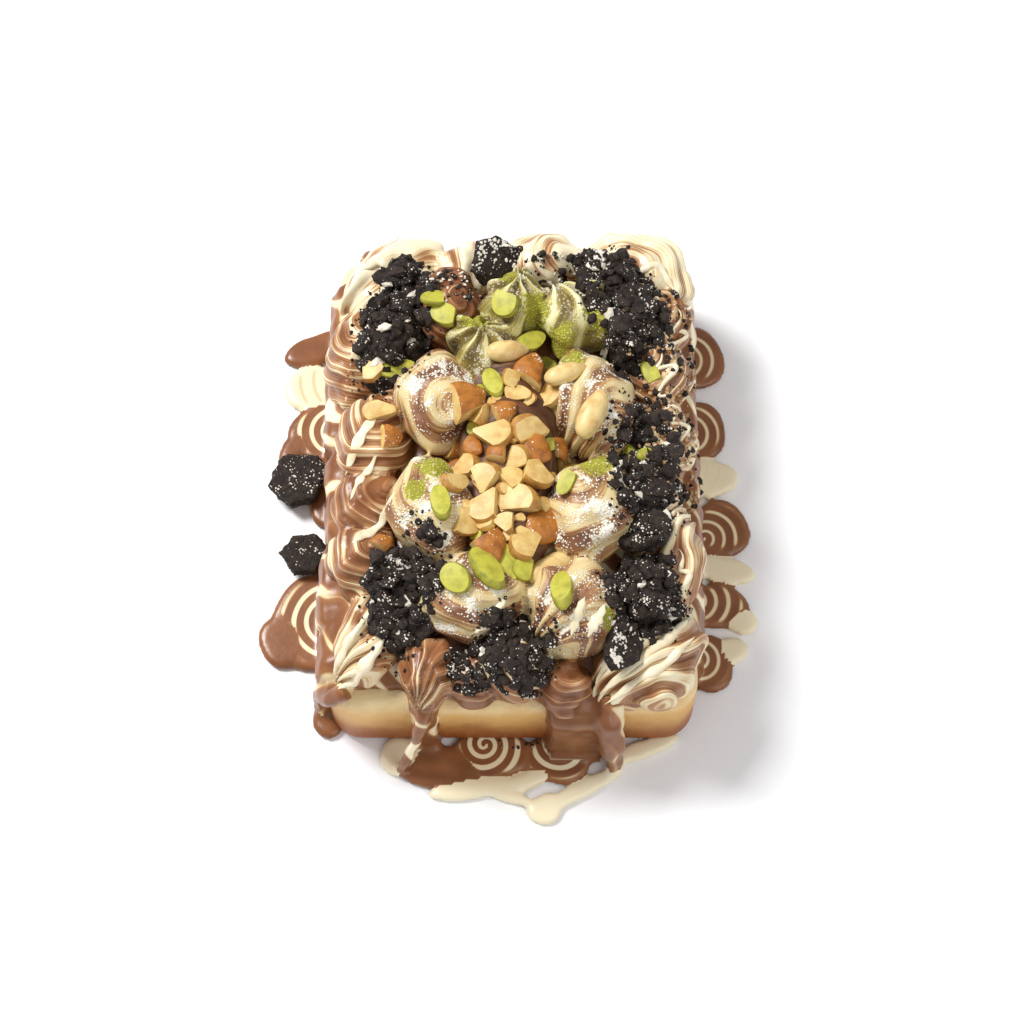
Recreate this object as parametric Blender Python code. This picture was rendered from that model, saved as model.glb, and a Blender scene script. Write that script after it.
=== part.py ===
"""Loaded dessert waffle, with no plate under it.

A golden waffle lies under marbled milk and white chocolate that runs down its sides into a
puddle. Marbled lumps stand round the rim, sugared lumps fill the middle, and broken black
biscuit, crumbs and a heap of nuts lie between and on them.

Sizes are in millimetres and MM turns them to metres. X is to the right, Y to the back, Z up.
While it is modelled, the middle of the waffle's underside is the origin.
"""

import math
import random
from dataclasses import dataclass

import bmesh
import bpy
from mathutils import Matrix, Vector, noise
from mathutils.bvhtree import BVHTree

MM = 0.001
GAP = 0.5  # clearance between pieces that touch

WAFFLE_WIDTH = 120.0
WAFFLE_LENGTH = 168.0
WAFFLE_HEIGHT = 32.0
CORNER_RADIUS = 11.0
EDGE_RADIUS = 4.5
POCKETS_ACROSS = 4
POCKETS_ALONG = 6
POCKET_PITCH = 24.0
POCKET_MOUTH = 18.0
POCKET_FLOOR = 12.5
POCKET_DEPTH = 11.0

PUDDLE_HEIGHT = 2.6
BARE = -6.0  # how far inside the waffle's outline the sauce ends where nothing runs down

GRAIN_SEED = 7
KEPT_SHARE = 0.65


@dataclass
class Blob:
    """An egg-shaped mass with soft folds that wind round its upright axis."""

    at: tuple
    radii: tuple
    turn: float = 0.0
    folds: int = 0
    depth: float = 0.0
    twist: float = 0.0


@dataclass
class Puddle:
    """A flat pool of sauce with a round edge."""

    x: float
    y: float
    half_width: float
    half_length: float
    turn: float = 0.0
    wave: float = 0.05


# Each mass of cream is a row of lumps that run into one another.
SUGARED = {
    "sugared_cream": (
        Blob((-1.0, -20.0, 44), (23.0, 50.0, 10)),
        Blob((-12.5, -54.0, 51), (17.5, 14.5, 15), 10, 4, 0.05, 0.5),
        Blob((19.5, -57.5, 50), (17.0, 17.0, 15), -20, 4, 0.05, 0.6),
        Blob((-25.5, -24.0, 52), (15.0, 19.0, 15), 15, 4, 0.05, 0.4),
        Blob((25.5, -24.0, 52), (15.5, 19.5, 15), -15, 4, 0.05, 0.5),
        Blob((-24.5, 15.5, 52), (15.0, 18.0, 15), 0, 4, 0.05, 0.5),
        Blob((26.5, 13.5, 52), (15.0, 21.5, 15), 20, 4, 0.05, 0.5),
    ),
    "pistachio_cream": (
        Blob((-10.5, 34.0, 53), (11.5, 13.5, 13), 20, 3, 0.12, 0.3),
        Blob((1.5, 51.0, 53), (12.5, 13.0, 14), 0, 4, 0.12, 0.4),
        Blob((21.5, 46.5, 53), (15.5, 14.0, 13), -25, 4, 0.11, 0.4),
    ),
}

MARBLED = {
    "marbled_cream_left": (
        Blob((-44.5, -62.0, 37), (12.5, 19.0, 13), -28, 4, 0.07, 0.8),
        Blob((-47.5, -37.0, 40), (13.5, 13.0, 13), -20, 4, 0.08, 0.8),
        Blob((-46.5, -18.5, 41), (13.0, 14.0, 13), -25, 4, 0.08, 0.8),
        Blob((-45.5, 5.5, 43), (13.0, 19.0, 14), -18, 4, 0.08, 0.9),
        Blob((-53.0, 37.5, 35), (11.0, 22.0, 14), 0, 4, 0.07, 0.7),
    ),
    "marbled_cream_back": (
        Blob((-41.0, 71.0, 37), (21.5, 14.0, 13), 38, 4, 0.07, 0.6),
        Blob((-22.0, 53.0, 47), (13.5, 15.0, 15), 0, 4, 0.07, 1.0),
        Blob((-14.0, 73.0, 40), (13.0, 11.0, 11), 0, 4, 0.06, 0.6),
        Blob((10.0, 76.0, 39), (18.0, 11.5, 11), 0, 4, 0.07, 0.6),
        Blob((44.0, 72.5, 39), (20.0, 15.0, 13), -25, 4, 0.08, 0.9),
    ),
    "marbled_cream_right": (
        Blob((51.0, 51.0, 41), (10.5, 13.5, 11), 0, 4, 0.06, 0.5),
        Blob((48.5, 31.0, 42), (12.0, 17.0, 13), 10, 4, 0.08, 0.7),
        Blob((48.0, 3.5, 43), (13.0, 18.0, 13), -10, 4, 0.08, 0.7),
        Blob((50.5, -33.0, 41), (12.0, 23.0, 13), 8, 4, 0.08, 0.8),
        Blob((43.5, -69.5, 37), (20.5, 17.0, 14), 32, 4, 0.07, 0.8),
    ),
    "marbled_cream_front": (
        Blob((-26.0, -75.0, 41), (10.0, 13.0, 13), -15, 4, 0.1, 1.0),
        Blob((-12.0, -76.0, 38), (12.0, 10.0, 11), 0, 4, 0.06, 0.5),
        Blob((0.5, -73.0, 43), (13.0, 13.0, 14), 0, 4, 0.04, 0.0),
        Blob((15.5, -78.5, 39), (10.5, 10.5, 11), 0, 4, 0.08, 0.7),
    ),
}

# Tongues of sauce that run down the waffle's sides, as (x, y, half width, thickness).
TONGUES = (
    (20.0, -84.0, 15.0, 6.0),
    (-1.0, -84.0, 15.0, 4.5),
    (-25.0, -84.0, 11.0, 3.0),
    (-60.0, -66.0, 12.0, 3.5),
    (-60.0, -42.0, 20.0, 4.0),
    (-60.0, -10.0, 22.0, 3.0),
    (-60.0, 25.0, 24.0, 4.0),
    (-60.0, 56.0, 20.0, 3.5),
    (-38.0, 84.0, 20.0, 3.5),
    (8.0, 84.0, 24.0, 4.0),
    (44.0, 84.0, 18.0, 3.5),
    (60.0, 60.0, 20.0, 4.0),
    (60.0, 30.0, 22.0, 3.0),
    (60.0, 2.0, 20.0, 3.5),
    (60.0, -25.0, 20.0, 4.0),
    (60.0, -52.0, 16.0, 3.5),
)

# The mantle's profile: (height, share of the tongue's thickness) up to the rim, then
# (height, share of the way to the middle) over the top.
MANTLE_SIDE = ((0.0, 1.3), (2.4, 1.2), (10.0, 0.9), (22.0, 0.85), (30.0, 1.0), (34.5, 0.5))
MANTLE_TOP = ((38.5, 0.1), (42.5, 0.3), (45.8, 0.62))

PUDDLES = (
    Puddle(-70.0, 64.0, 13, 6.0, 25),
    Puddle(-69.0, 48.0, 13, 9.0, 10),
    Puddle(-66.5, 30.0, 12.5, 12.5),
    Puddle(-77.0, 23.5, 4.5, 7.0, -30),
    Puddle(-64.5, 2.0, 6.5, 8.5),
    Puddle(-67.5, -42.5, 15, 18, 0),
    Puddle(-77.0, -48.5, 9, 10),
    Puddle(-61.0, -75.5, 5.5, 8.5),
    Puddle(-37.0, -89.5, 7, 7),
    Puddle(-23.0, -93.5, 14, 7.5, 0),
    Puddle(-7.0, -89.0, 14, 8.5),
    Puddle(15.0, -90.0, 11.5, 9.5),
    Puddle(-13.0, -101.0, 16, 3.4, 8),
    Puddle(5.0, -98.0, 9, 3.2, 20),
    Puddle(-0.5, -103.8, 8.5, 2.0, -14),
    Puddle(11.0, -107.5, 6.5, 5.2, 30),
    Puddle(23.0, -101.0, 17, 3.0, 28),
    Puddle(43.5, -87.0, 12.5, 3.4, 20),
    Puddle(64.5, 60.0, 12, 13),
    Puddle(65.5, 31.0, 10.5, 11.5),
    Puddle(69.0, 12.5, 10.0, 7.5),
    Puddle(72.0, -7.0, 10.5, 11.0, 20),
    Puddle(72.5, -22.5, 12, 5.0, -12),
    Puddle(70.5, -36.0, 10.5, 8.5),
    Puddle(78.5, -42.0, 5.5, 4.6),
    Puddle(74.5, -52.0, 5.5, 5.0),
    Puddle(65.5, -57.0, 9.5, 10.5),
    Puddle(-38.0, 90.0, 16, 8),
    Puddle(6.0, 91.0, 18, 9),
    Puddle(42.0, 88.5, 14, 8),
)

CRUMB_HEAPS = {
    "crumb_heap_back_left": Blob((-39.0, 44.0, 45), (13.0, 25.0, 12), -12),
    "crumb_heap_front_left": Blob((-33.5, -52.0, 44), (12.5, 20.0, 12), -8),
    "crumb_heap_back_right": Blob((37.5, 50.0, 46), (13.5, 24.0, 13), 14),
    "crumb_heap_mid_right": Blob((43.0, -11.0, 45), (12.0, 25.0, 13)),
    "crumb_heap_front_right": Blob((42.0, -52.0, 45), (13.0, 14.0, 12)),
}


@dataclass
class Shard:
    """A broken flat bit of biscuit, turned about Z and then tipped about its own long side."""

    at: tuple
    radius: float
    thickness: float
    turn: float
    tip: float
    stretch: float = 1.3


SHARDS = {
    "biscuit_back": Shard((-6.0, 67.0, 58), 9.0, 4.0, 35, 40),
    "biscuit_back_right": Shard((30.0, 63.5, 56), 9.5, 4.5, -25, 30),
    "biscuit_right_4": Shard((38.5, 41.0, 57), 9.0, 5.0, 75, 35),
    "biscuit_right_3": Shard((44.0, -15.0, 56), 8.5, 4.5, 60, 30),
    "biscuit_right_2": Shard((42.5, -33.0, 55), 8.0, 4.5, 20, -25),
    "biscuit_right_1": Shard((44.0, -55.0, 55), 9.0, 5.0, 50, 30),
    "biscuit_front_right": Shard((35.0, -71.0, 53), 8.0, 5.0, 80, 35, 1.15),
    "biscuit_back_left": Shard((-36.5, 64.0, 53), 6.5, 6.0, 20, 15),
    "biscuit_left_2": Shard((-41.0, 40.0, 56), 9.5, 6.5, 50, 10),
    "biscuit_left_1": Shard((-39.0, -47.0, 53), 8.5, 5.0, 20, 20),
    "biscuit_puddle_back": Shard((-74.5, 9.0, 6.4), 9.5, 5.5, 15, 8),
    "biscuit_puddle_front": Shard((-71.0, -19.0, 6.2), 8.0, 5.5, 5, 10),
}

# Nuts as (kind, x, y, length, width, turn). They drop on to what carries them.
NUTS = (
    ("blanched", -0.3, 20.2, 7.0, 4.5, 80),
    ("blanched", 1.9, 13.6, 8.0, 4.5, -10),
    ("blanched", 11.7, 14.3, 9.5, 8.0, 20),
    ("blanched", -5.8, -2.0, 10.5, 8.5, 10),
    ("blanched", 5.8, -0.3, 9.5, 8.0, 0),
    ("blanched", 1.6, -10.6, 7.5, 7.0, 60),
    ("blanched", -15.0, -11.3, 7.0, 8.0, 120),
    ("blanched", -8.9, -16.8, 9.0, 8.0, 30),
    ("blanched", -0.3, -17.6, 7.5, 6.5, 30),
    ("blanched", 7.9, -15.7, 7.0, 9.0, 70),
    ("blanched", 16.9, -9.6, 9.0, 6.5, 40),
    ("blanched", -18.1, -19.1, 7.0, 6.0, 20),
    ("blanched", -7.9, -26.3, 10.0, 8.5, 40),
    ("blanched", 2.5, -25.2, 10.5, 8.5, -20),
    ("blanched", -14.5, -31.4, 7.0, 9.0, 100),
    ("blanched", 4.7, -39.7, 9.0, 8.0, 0),
    ("blanched", -2.2, -33.0, 9.0, 5.5, 20),
    ("blanched", -11.0, 5.6, 9.0, 6.5, 20),
    ("kernel", 13.8, -43.5, 19.0, 7.5, 42),
    ("kernel", 17.5, 20.3, 12.0, 6.0, 20),
    ("kernel", -1.3, 30.0, 12.0, 6.0, 10),
    ("almond", 5.8, 21.9, 13.0, 9.5, 75),
    ("almond", -15.8, 9.8, 14.0, 12.0, 30),
    ("almond", -3.2, 5.6, 9.5, 7.5, 40),
    ("almond", 6.4, -6.6, 11.5, 10.0, -30),
    ("almond", 14.7, -1.8, 10.0, 6.0, -60),
    ("almond", -18.9, -6.8, 9.0, 6.0, -50),
    ("almond", -13.4, -4.7, 9.0, 6.0, -40),
    ("almond", -4.8, -8.7, 9.5, 6.0, 80),
    ("almond", 11.6, -30.9, 14.5, 9.5, 25),
    ("almond", -7.8, -39.2, 12.0, 10.0, -60),
    ("almond", -18.3, -0.6, 8.0, 7.0, 0),
    ("pistachio", 5.9, 36.0, 10.5, 5.5, 35),
    ("pistachio", 11.5, 31.0, 8.5, 7.5, -40),
    ("pistachio", 14.7, 26.4, 10.0, 6.5, 10),
    ("pistachio", -6.2, 17.6, 10.0, 5.5, -70),
    ("pistachio", -7.8, -49.4, 14.5, 7.5, -60),
    ("pistachio", -1.9, -44.5, 12.5, 5.0, -70),
    ("pistachio", 4.0, -47.0, 7.0, 7.0, 0),
    ("pistachio", 17.6, -19.0, 9.0, 4.5, 60),
)

# Nuts that lie apart from the heap, by the piece that carries them.
NUTS_APART = {
    "sugared_cream": (
        ("kernel", 26.0, 4.5, 15.0, 7.0, 65),
        ("pistachio", -22.5, -27.6, 10.5, 5.5, -80),
        ("pistachio", -17.4, -53.4, 9.5, 7.5, -50),
        ("pistachio", 15.5, -57.0, 12.0, 6.0, -85),
    ),
    "pistachio_cream": (("pistachio", -2.0, 46.5, 9.0, 8.0, 90),),
    "marbled_cream_back": (
        ("pistachio", -22.0, 44.5, 9.0, 6.5, -30),
        ("pistachio", -25.5, 50.0, 8.5, 5.0, 10),
    ),
    "marbled_cream_left": (
        ("almond", -40.5, 1.0, 8.5, 7.5, 10),
        ("blanched", -43.0, 10.0, 9.0, 6.0, 0),
        ("almond", -41.5, -35.5, 6.5, 6.0, 40),
    ),
    "crumb_heap_back_left": (
        ("pistachio", -38.2, 28.0, 11.5, 5.5, 10),
        ("blanched", -46.5, 27.5, 6.0, 7.5, 90),
    ),
    "crumb_heap_mid_right": (
        ("pistachio", 37.5, -4.8, 8.5, 5.0, -50),
        ("pistachio", 44.0, -6.6, 7.5, 4.5, 25),
    ),
    "marbled_cream_right": (("pistachio", 46.0, 26.0, 9.0, 4.5, -65),),
}

NUT_THICKNESS = {"blanched": 0.62, "kernel": 0.9, "almond": 0.5, "pistachio": 0.75}
NUT_SINK = 0.25  # share of a nut's thickness that is bedded in what carries it
NUT_BED = Blob((-1.0, -6.0, 53), (17.0, 50.0, 10.5))

COLOURS = {
    "waffle": ("#D9A650", 0.75),
    "marbled_chocolate": ("#A47857", 0.35),
    "sugared_chocolate": ("#EFE6CC", 0.7),
    "pistachio_cream": ("#A9A25A", 0.6),
    "biscuit": ("#1C1513", 0.9),
    "nuts": ("#E3C182", 0.55),
}


def clear_scene():
    """Removes every object that the file opened with."""
    for obj in list(bpy.data.objects):
        bpy.data.objects.remove(obj, do_unlink=True)


def material(name):
    """The named material, made on its first use from its colour and roughness."""
    found = bpy.data.materials.get(name)
    if found:
        return found
    code, roughness = COLOURS[name]
    srgb = [int(code[i : i + 2], 16) / 255 for i in (1, 3, 5)]
    linear = [c / 12.92 if c <= 0.04045 else ((c + 0.055) / 1.055) ** 2.4 for c in srgb]
    made = bpy.data.materials.new(name)
    made.use_nodes = True
    shader = made.node_tree.nodes["Principled BSDF"]
    shader.inputs["Base Color"].default_value = (*linear, 1)
    shader.inputs["Roughness"].default_value = roughness
    shader.inputs["Metallic"].default_value = 0
    return made


def object_from(name, bm, paint):
    """Turns a bmesh in millimetres into an object in metres, with one material."""
    bmesh.ops.recalc_face_normals(bm, faces=bm.faces)
    bmesh.ops.triangulate(bm, faces=bm.faces, quad_method="FIXED")
    bmesh.ops.scale(bm, vec=(MM, MM, MM), verts=bm.verts)
    mesh = bpy.data.meshes.new(name)
    bm.to_mesh(mesh)
    bm.free()
    mesh.materials.append(material(paint))
    obj = bpy.data.objects.new(name, mesh)
    bpy.context.scene.collection.objects.link(obj)
    return obj


def boolean(obj, operation, others):
    """Applies one Boolean of all the others to the object, and leaves the others as they are."""
    if not others:
        return
    group = bpy.data.collections.new("boolean_operands")
    bpy.context.scene.collection.children.link(group)
    for other in others:
        group.objects.link(other)
    modifier = obj.modifiers.new("boolean", "BOOLEAN")
    modifier.operation = operation
    modifier.operand_type = "COLLECTION"
    modifier.collection = group
    modifier.solver = "MANIFOLD"
    bpy.context.view_layer.objects.active = obj
    bpy.ops.object.modifier_apply(modifier=modifier.name)
    bpy.data.collections.remove(group)


def fuse(name, pieces):
    """Joins the pieces into one solid by a union, and removes all but the first."""
    first, *rest = pieces
    boolean(first, "UNION", rest)
    for piece in rest:
        bpy.data.objects.remove(piece, do_unlink=True)
    first.name = name
    return first


def islands(bm):
    """The mesh's separate shells, each as a list of faces."""
    left, found = set(bm.faces), []
    while left:
        shell, front = [], [left.pop()]
        while front:
            face = front.pop()
            shell.append(face)
            for edge in face.edges:
                for other in edge.link_faces:
                    if other in left:
                        left.remove(other)
                        front.append(other)
        found.append(shell)
    return found


def keep_largest_shell(obj):
    """Drops the loose scraps that a Boolean left beside the piece."""
    bm = bmesh.new()
    bm.from_mesh(obj.data)
    shells = sorted(islands(bm), key=lambda shell: sum(f.calc_area() for f in shell))
    scraps = [face for shell in shells[:-1] for face in shell]
    bmesh.ops.delete(bm, geom=scraps, context="FACES")
    bm.to_mesh(obj.data)
    bm.free()


def drop_slivers(obj, kept):
    """Thins the mesh to the kept share of its triangles, the smallest and flattest first."""
    modifier = obj.modifiers.new("thin_out", "DECIMATE")
    modifier.ratio = kept
    bpy.context.view_layer.objects.active = obj
    bpy.ops.object.modifier_apply(modifier=modifier.name)


def bounds(obj):
    """Lowest and highest corner of the object's own mesh."""
    points = [v.co for v in obj.data.vertices]
    low = Vector([min(p[i] for p in points) for i in range(3)])
    high = Vector([max(p[i] for p in points) for i in range(3)])
    return low, high


def near(obj, others):
    """The others whose boxes meet the object's box."""
    low, high = bounds(obj)
    found = []
    for other in others:
        other_low, other_high = bounds(other)
        if all(low[i] < other_high[i] and other_low[i] < high[i] for i in range(3)):
            found.append(other)
    return found


def blob_mesh(blob, grow=0.0, segments=16, rings=9):
    """A folded egg shape as a bmesh, with every radius larger by grow."""
    bm = bmesh.new()
    bmesh.ops.create_uvsphere(bm, u_segments=segments, v_segments=rings, radius=1)
    for vert in bm.verts:
        x, y, z = vert.co
        around = math.atan2(y, x)
        fold = math.cos(blob.folds * around + blob.twist * math.pi * z)
        swell = 1 + blob.depth * fold * math.hypot(x, y) if blob.folds else 1
        wobble = 1 + 0.05 * noise.noise(Vector((x, y, z)) * 1.3 + Vector(blob.at) * 0.37)
        vert.co = [c * (r * swell * wobble + grow) for c, r in zip((x, y, z), blob.radii)]
    turn = Matrix.Rotation(math.radians(blob.turn), 3, "Z")
    bmesh.ops.transform(bm, matrix=turn.to_4x4(), verts=bm.verts)
    bmesh.ops.translate(bm, vec=blob.at, verts=bm.verts)
    return bm


def ring_of(bm, centre, angles, reach, height):
    """A ring of vertices at one height, each as far out as reach says for its angle."""
    return [
        bm.verts.new((centre[0] + math.cos(a) * reach(a), centre[1] + math.sin(a) * reach(a), height))
        for a in angles
    ]


def stack_rings(bm, rings):
    """Joins each ring to the next and closes both ends with a fan."""
    count = len(rings[0])
    for lower, upper in zip(rings, rings[1:]):
        for i in range(count):
            j = (i + 1) % count
            bm.faces.new((lower[i], lower[j], upper[j], upper[i]))
    for ring, flip in ((rings[0], True), (rings[-1], False)):
        middle = bm.verts.new(sum((v.co for v in ring), Vector()) / count)
        for i in range(count):
            pair = (ring[(i + 1) % count], ring[i]) if flip else (ring[i], ring[(i + 1) % count])
            bm.faces.new((*pair, middle))


def puddle_mesh(puddle, grow=0.0):
    """A flat pool with a round edge, standing on z 0."""
    segments = 10 if max(puddle.half_width, puddle.half_length) > 9 else 8
    turn = math.radians(puddle.turn)
    angles = [turn + 2 * math.pi * i / segments for i in range(segments)]
    wide, long = puddle.half_width + grow, puddle.half_length + grow

    def outline(inset):
        def reach(angle):
            a = angle - turn
            oval = 1 / math.hypot(math.cos(a) / (wide - inset), math.sin(a) / (long - inset))
            return oval * (1 + puddle.wave * math.cos(3 * a + puddle.x))

        return reach

    height = PUDDLE_HEIGHT + grow
    profile = ((0.3, 0.0), (0.0, 1.0), (1.6, height))
    bm = bmesh.new()
    centre = (puddle.x, puddle.y)
    stack_rings(bm, [ring_of(bm, centre, angles, outline(i), z) for i, z in profile])
    return bm


def outline_walk(front=12, sides=9, back=6, turns=3):
    """Points round the waffle's outline with their outward directions, closest at the front."""
    half_x, half_y, r = WAFFLE_WIDTH / 2, WAFFLE_LENGTH / 2, CORNER_RADIUS
    points = []

    def side(start, end, steps, out):
        for i in range(1, steps):
            points.append((Vector(start).lerp(Vector(end), i / steps), Vector(out)))

    def corner(x, y, first):
        for i in range(turns + 1):
            a = math.radians(first + 90 / turns * i)
            out = Vector((math.cos(a), math.sin(a)))
            points.append((Vector((x, y)) + out * r, out))

    side((-half_x + r, -half_y), (half_x - r, -half_y), front, (0, -1))
    corner(half_x - r, -half_y + r, -90)
    side((half_x, -half_y + r), (half_x, half_y - r), sides, (1, 0))
    corner(half_x - r, half_y - r, 0)
    side((half_x - r, half_y), (-half_x + r, half_y), back, (0, 1))
    corner(-half_x + r, half_y - r, 90)
    side((-half_x, half_y - r), (-half_x, -half_y + r), sides, (-1, 0))
    corner(-half_x + r, -half_y + r, 180)
    return points


def drape(point):
    """Thickness of the sauce on the waffle's side at a point of its outline."""
    thickest = BARE
    for x, y, half_width, thickness in TONGUES:
        share = 1 - math.hypot(point.x - x, point.y - y) / half_width
        soft = min(max(share / 0.4, 0), 1)
        thickest = max(thickest, BARE + (thickness - BARE) * soft * soft * (3 - 2 * soft))
    return thickest


def mantle_mesh(grow=0.0):
    """The sauce over the waffle's top and down its sides, as one solid that reaches through it."""
    bm = bmesh.new()
    walk = outline_walk()
    thickness = [drape(point) for point, _ in walk]
    rings = []
    for height, share in MANTLE_SIDE:
        ring = []
        for (point, out), thick in zip(walk, thickness):
            reach = (thick * share if thick > 0 else thick) + grow
            place = point + out * reach
            ring.append(bm.verts.new((*place, height)))
        rings.append(ring)
    for height, share in MANTLE_TOP:
        ring = []
        for (point, out), thick in zip(walk, thickness):
            place = (point + out * min(thick * 0.3, 0)) * (1 - share)
            ring.append(bm.verts.new((*place, height + grow)))
        rings.append(ring)
    stack_rings(bm, rings)
    return bm


def drip_mesh(points, grow=0.0, sides=8):
    """A tapering drip through points of (x, y, z, radius)."""
    bm = bmesh.new()
    rings = []
    for i, (x, y, z, radius) in enumerate(points):
        before, after = points[max(i - 1, 0)], points[min(i + 1, len(points) - 1)]
        along = (Vector(after[:3]) - Vector(before[:3])).normalized()
        side = along.cross(Vector((1, 0, 0))).normalized()
        up = along.cross(side)
        ring = []
        for k in range(sides):
            a = 2 * math.pi * k / sides
            out = (side * math.cos(a) + up * math.sin(a)) * (radius + grow)
            ring.append(bm.verts.new(Vector((x, y, z)) + out))
        rings.append(ring)
    stack_rings(bm, rings)
    return bm


DRIPS = (
    ((-26, -80, 38, 3.0), (-28, -87, 33, 2.8), (-31, -91, 20, 2.4), (-35, -94, 8, 1.8), (-37, -96, 1.6, 1.4)),
    ((31, -80, 36, 4.5), (31, -88, 31, 5.0), (32, -91, 20, 5.0), (33, -92, 9, 3.6), (34, -93, 0.9, 2.6)),
    ((-52, -80, 38, 3.6), (-57, -81, 33, 3.6), (-62, -75, 22, 3.4), (-63, -73, 10, 3.2), (-63, -73, 3.4, 3.0)),
)


def raw_sauce(grow=0.0):
    """The whole sauce before the waffle is cut out of it: mantle, drips and puddles."""
    pieces = [object_from("sauce", mantle_mesh(grow), "marbled_chocolate")]
    for drip in DRIPS:
        pieces.append(object_from("drip", drip_mesh(drip, grow), "marbled_chocolate"))
    for puddle in PUDDLES:
        pieces.append(object_from("puddle", puddle_mesh(puddle, grow), "marbled_chocolate"))
    return fuse("raw_sauce", pieces)


def below_ground():
    """A block that takes off whatever reaches under the surface that the waffle lies on."""
    bm = bmesh.new()
    bmesh.ops.create_cube(bm, size=1)
    bmesh.ops.scale(bm, vec=(400, 400, 60), verts=bm.verts)
    bmesh.ops.translate(bm, vec=(0, 0, -30), verts=bm.verts)
    return object_from("below_ground", bm, "waffle")


def slab_mesh(grow=0.0):
    """The waffle's outer form: a thick slab with round corners and soft edges."""
    e, top = EDGE_RADIUS, WAFFLE_HEIGHT
    profile = (
        (e, -grow),
        (0.3 * e, 0.3 * e - grow),
        (0.0, e),
        (0.0, top - e),
        (0.3 * e, top - 0.3 * e + grow),
        (e, top + grow),
    )
    bm = bmesh.new()
    rings = []
    for inset, height in profile:
        walk = outline_walk(1, 1, 1, 5)
        rings.append([bm.verts.new((*(p + out * (grow - inset)), height)) for p, out in walk])
    stack_rings(bm, rings)
    return bm


def pocket(x, y):
    """A square pocket of the waffle iron's grid, as a cutter that tapers upwards."""
    bm = bmesh.new()
    bmesh.ops.create_cube(bm, size=1)
    for vert in bm.verts:
        top = vert.co.z > 0
        side = POCKET_FLOOR if top else POCKET_MOUTH
        height = POCKET_DEPTH if top else -2.0
        vert.co = (x + 2 * vert.co.x * side / 2, y + 2 * vert.co.y * side / 2, height)
    return object_from("pocket", bm, "waffle")


def build_waffle():
    """The waffle, with its grid of pockets open on the underside."""
    waffle = object_from("waffle", slab_mesh(), "waffle")
    cutters = []
    for i in range(POCKETS_ACROSS):
        for j in range(POCKETS_ALONG):
            x = (i - (POCKETS_ACROSS - 1) / 2) * POCKET_PITCH
            y = (j - (POCKETS_ALONG - 1) / 2) * POCKET_PITCH
            cutters.append(pocket(x, y))
    boolean(waffle, "DIFFERENCE", cutters)
    for cutter in cutters:
        bpy.data.objects.remove(cutter, do_unlink=True)
    return waffle


def shard_mesh(shard, seed, grow=0.0, corners=8):
    """A flat broken bit with a ragged outline and crumbled faces."""
    draw = random.Random(seed)
    reach = [shard.radius * draw.uniform(0.72, 1.12) for _ in range(corners)]
    bm = bmesh.new()
    half = shard.thickness / 2
    rings = []
    for height, share in ((-half, 0.86), (0.0, 1.0), (half, 0.88)):
        ring = []
        for i, r in enumerate(reach):
            a = 2 * math.pi * i / corners
            r = r * share * draw.uniform(0.95, 1.05) + grow
            lift = height * draw.uniform(0.85, 1.1) + (grow if height > 0 else -grow if height < 0 else 0)
            ring.append(bm.verts.new((math.cos(a) * r * shard.stretch, math.sin(a) * r, lift)))
        rings.append(ring)
    stack_rings(bm, rings)
    tip = Matrix.Rotation(math.radians(shard.tip), 4, "X")
    turn = Matrix.Rotation(math.radians(shard.turn), 4, "Z")
    place = Matrix.Translation(Vector(shard.at))
    bmesh.ops.transform(bm, matrix=place @ turn @ tip, verts=bm.verts)
    return bm


def crumb_heap_mesh(blob, seed, grow=0.0):
    """A heap of crumbs as one solid whose surface has bumps of the crumbs' size."""
    bm = blob_mesh(blob, grow, segments=10, rings=6)
    draw = random.Random(seed)
    centre = Vector(blob.at)
    for vert in bm.verts:
        out = (vert.co - centre).normalized()
        vert.co += out * (draw.uniform(-1.1, 1.1) if not grow else 1.1)
    return bm


def drop_height(trees, x, y):
    """Height of the highest surface under a point, in millimetres."""
    heights = []
    for tree in trees:
        hit = tree.ray_cast(Vector((x * MM, y * MM, 0.2)), Vector((0, 0, -1)))[0]
        if hit:
            heights.append(hit.z / MM)
    return max(heights)


def nut_mesh(kind, length, width, grow=0.0):
    """A nut lying flat at the origin, with few sides and the form of its kind."""
    thickness = width * NUT_THICKNESS[kind]
    bm = bmesh.new()
    if kind == "blanched":
        bmesh.ops.create_icosphere(bm, subdivisions=1, radius=1)
    else:
        bmesh.ops.create_uvsphere(bm, u_segments=6, v_segments=4, radius=1)
        bmesh.ops.rotate(bm, cent=(0, 0, 0), matrix=Matrix.Rotation(math.pi / 2, 3, "Y"), verts=bm.verts)
    for vert in bm.verts:
        x, y, z = vert.co
        point = 1.0
        if kind == "almond":
            point = 1 - 0.3 * max(x, 0)
        elif kind == "blanched":
            point = 1 - 0.35 * x
        reach = (length / 2 * x, width / 2 * y * point, thickness / 2 * z * point)
        vert.co = [c + grow * s for c, s in zip(reach, (x, y, z))]
    return bm, thickness


def place_nut(nut, trees, seed, grow=0.0):
    """Drops a nut on to the surfaces, bedded a little way in and tipped at random."""
    kind, x, y, length, width, turn = nut
    draw = random.Random(seed)
    bm, thickness = nut_mesh(kind, length, width, grow)
    height = drop_height(trees, x, y) + thickness * (0.5 - NUT_SINK)
    tip = Matrix.Rotation(math.radians(draw.uniform(-16, 16)), 4, "X")
    spin = Matrix.Rotation(math.radians(turn), 4, "Z")
    bmesh.ops.transform(bm, matrix=Matrix.Translation((x, y, height)) @ spin @ tip, verts=bm.verts)
    return object_from("nut", bm, "nuts")


def tree_of(obj):
    """A search tree of the object's surface."""
    return BVHTree.FromPolygons([v.co for v in obj.data.vertices], [p.vertices for p in obj.data.polygons])


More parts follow.
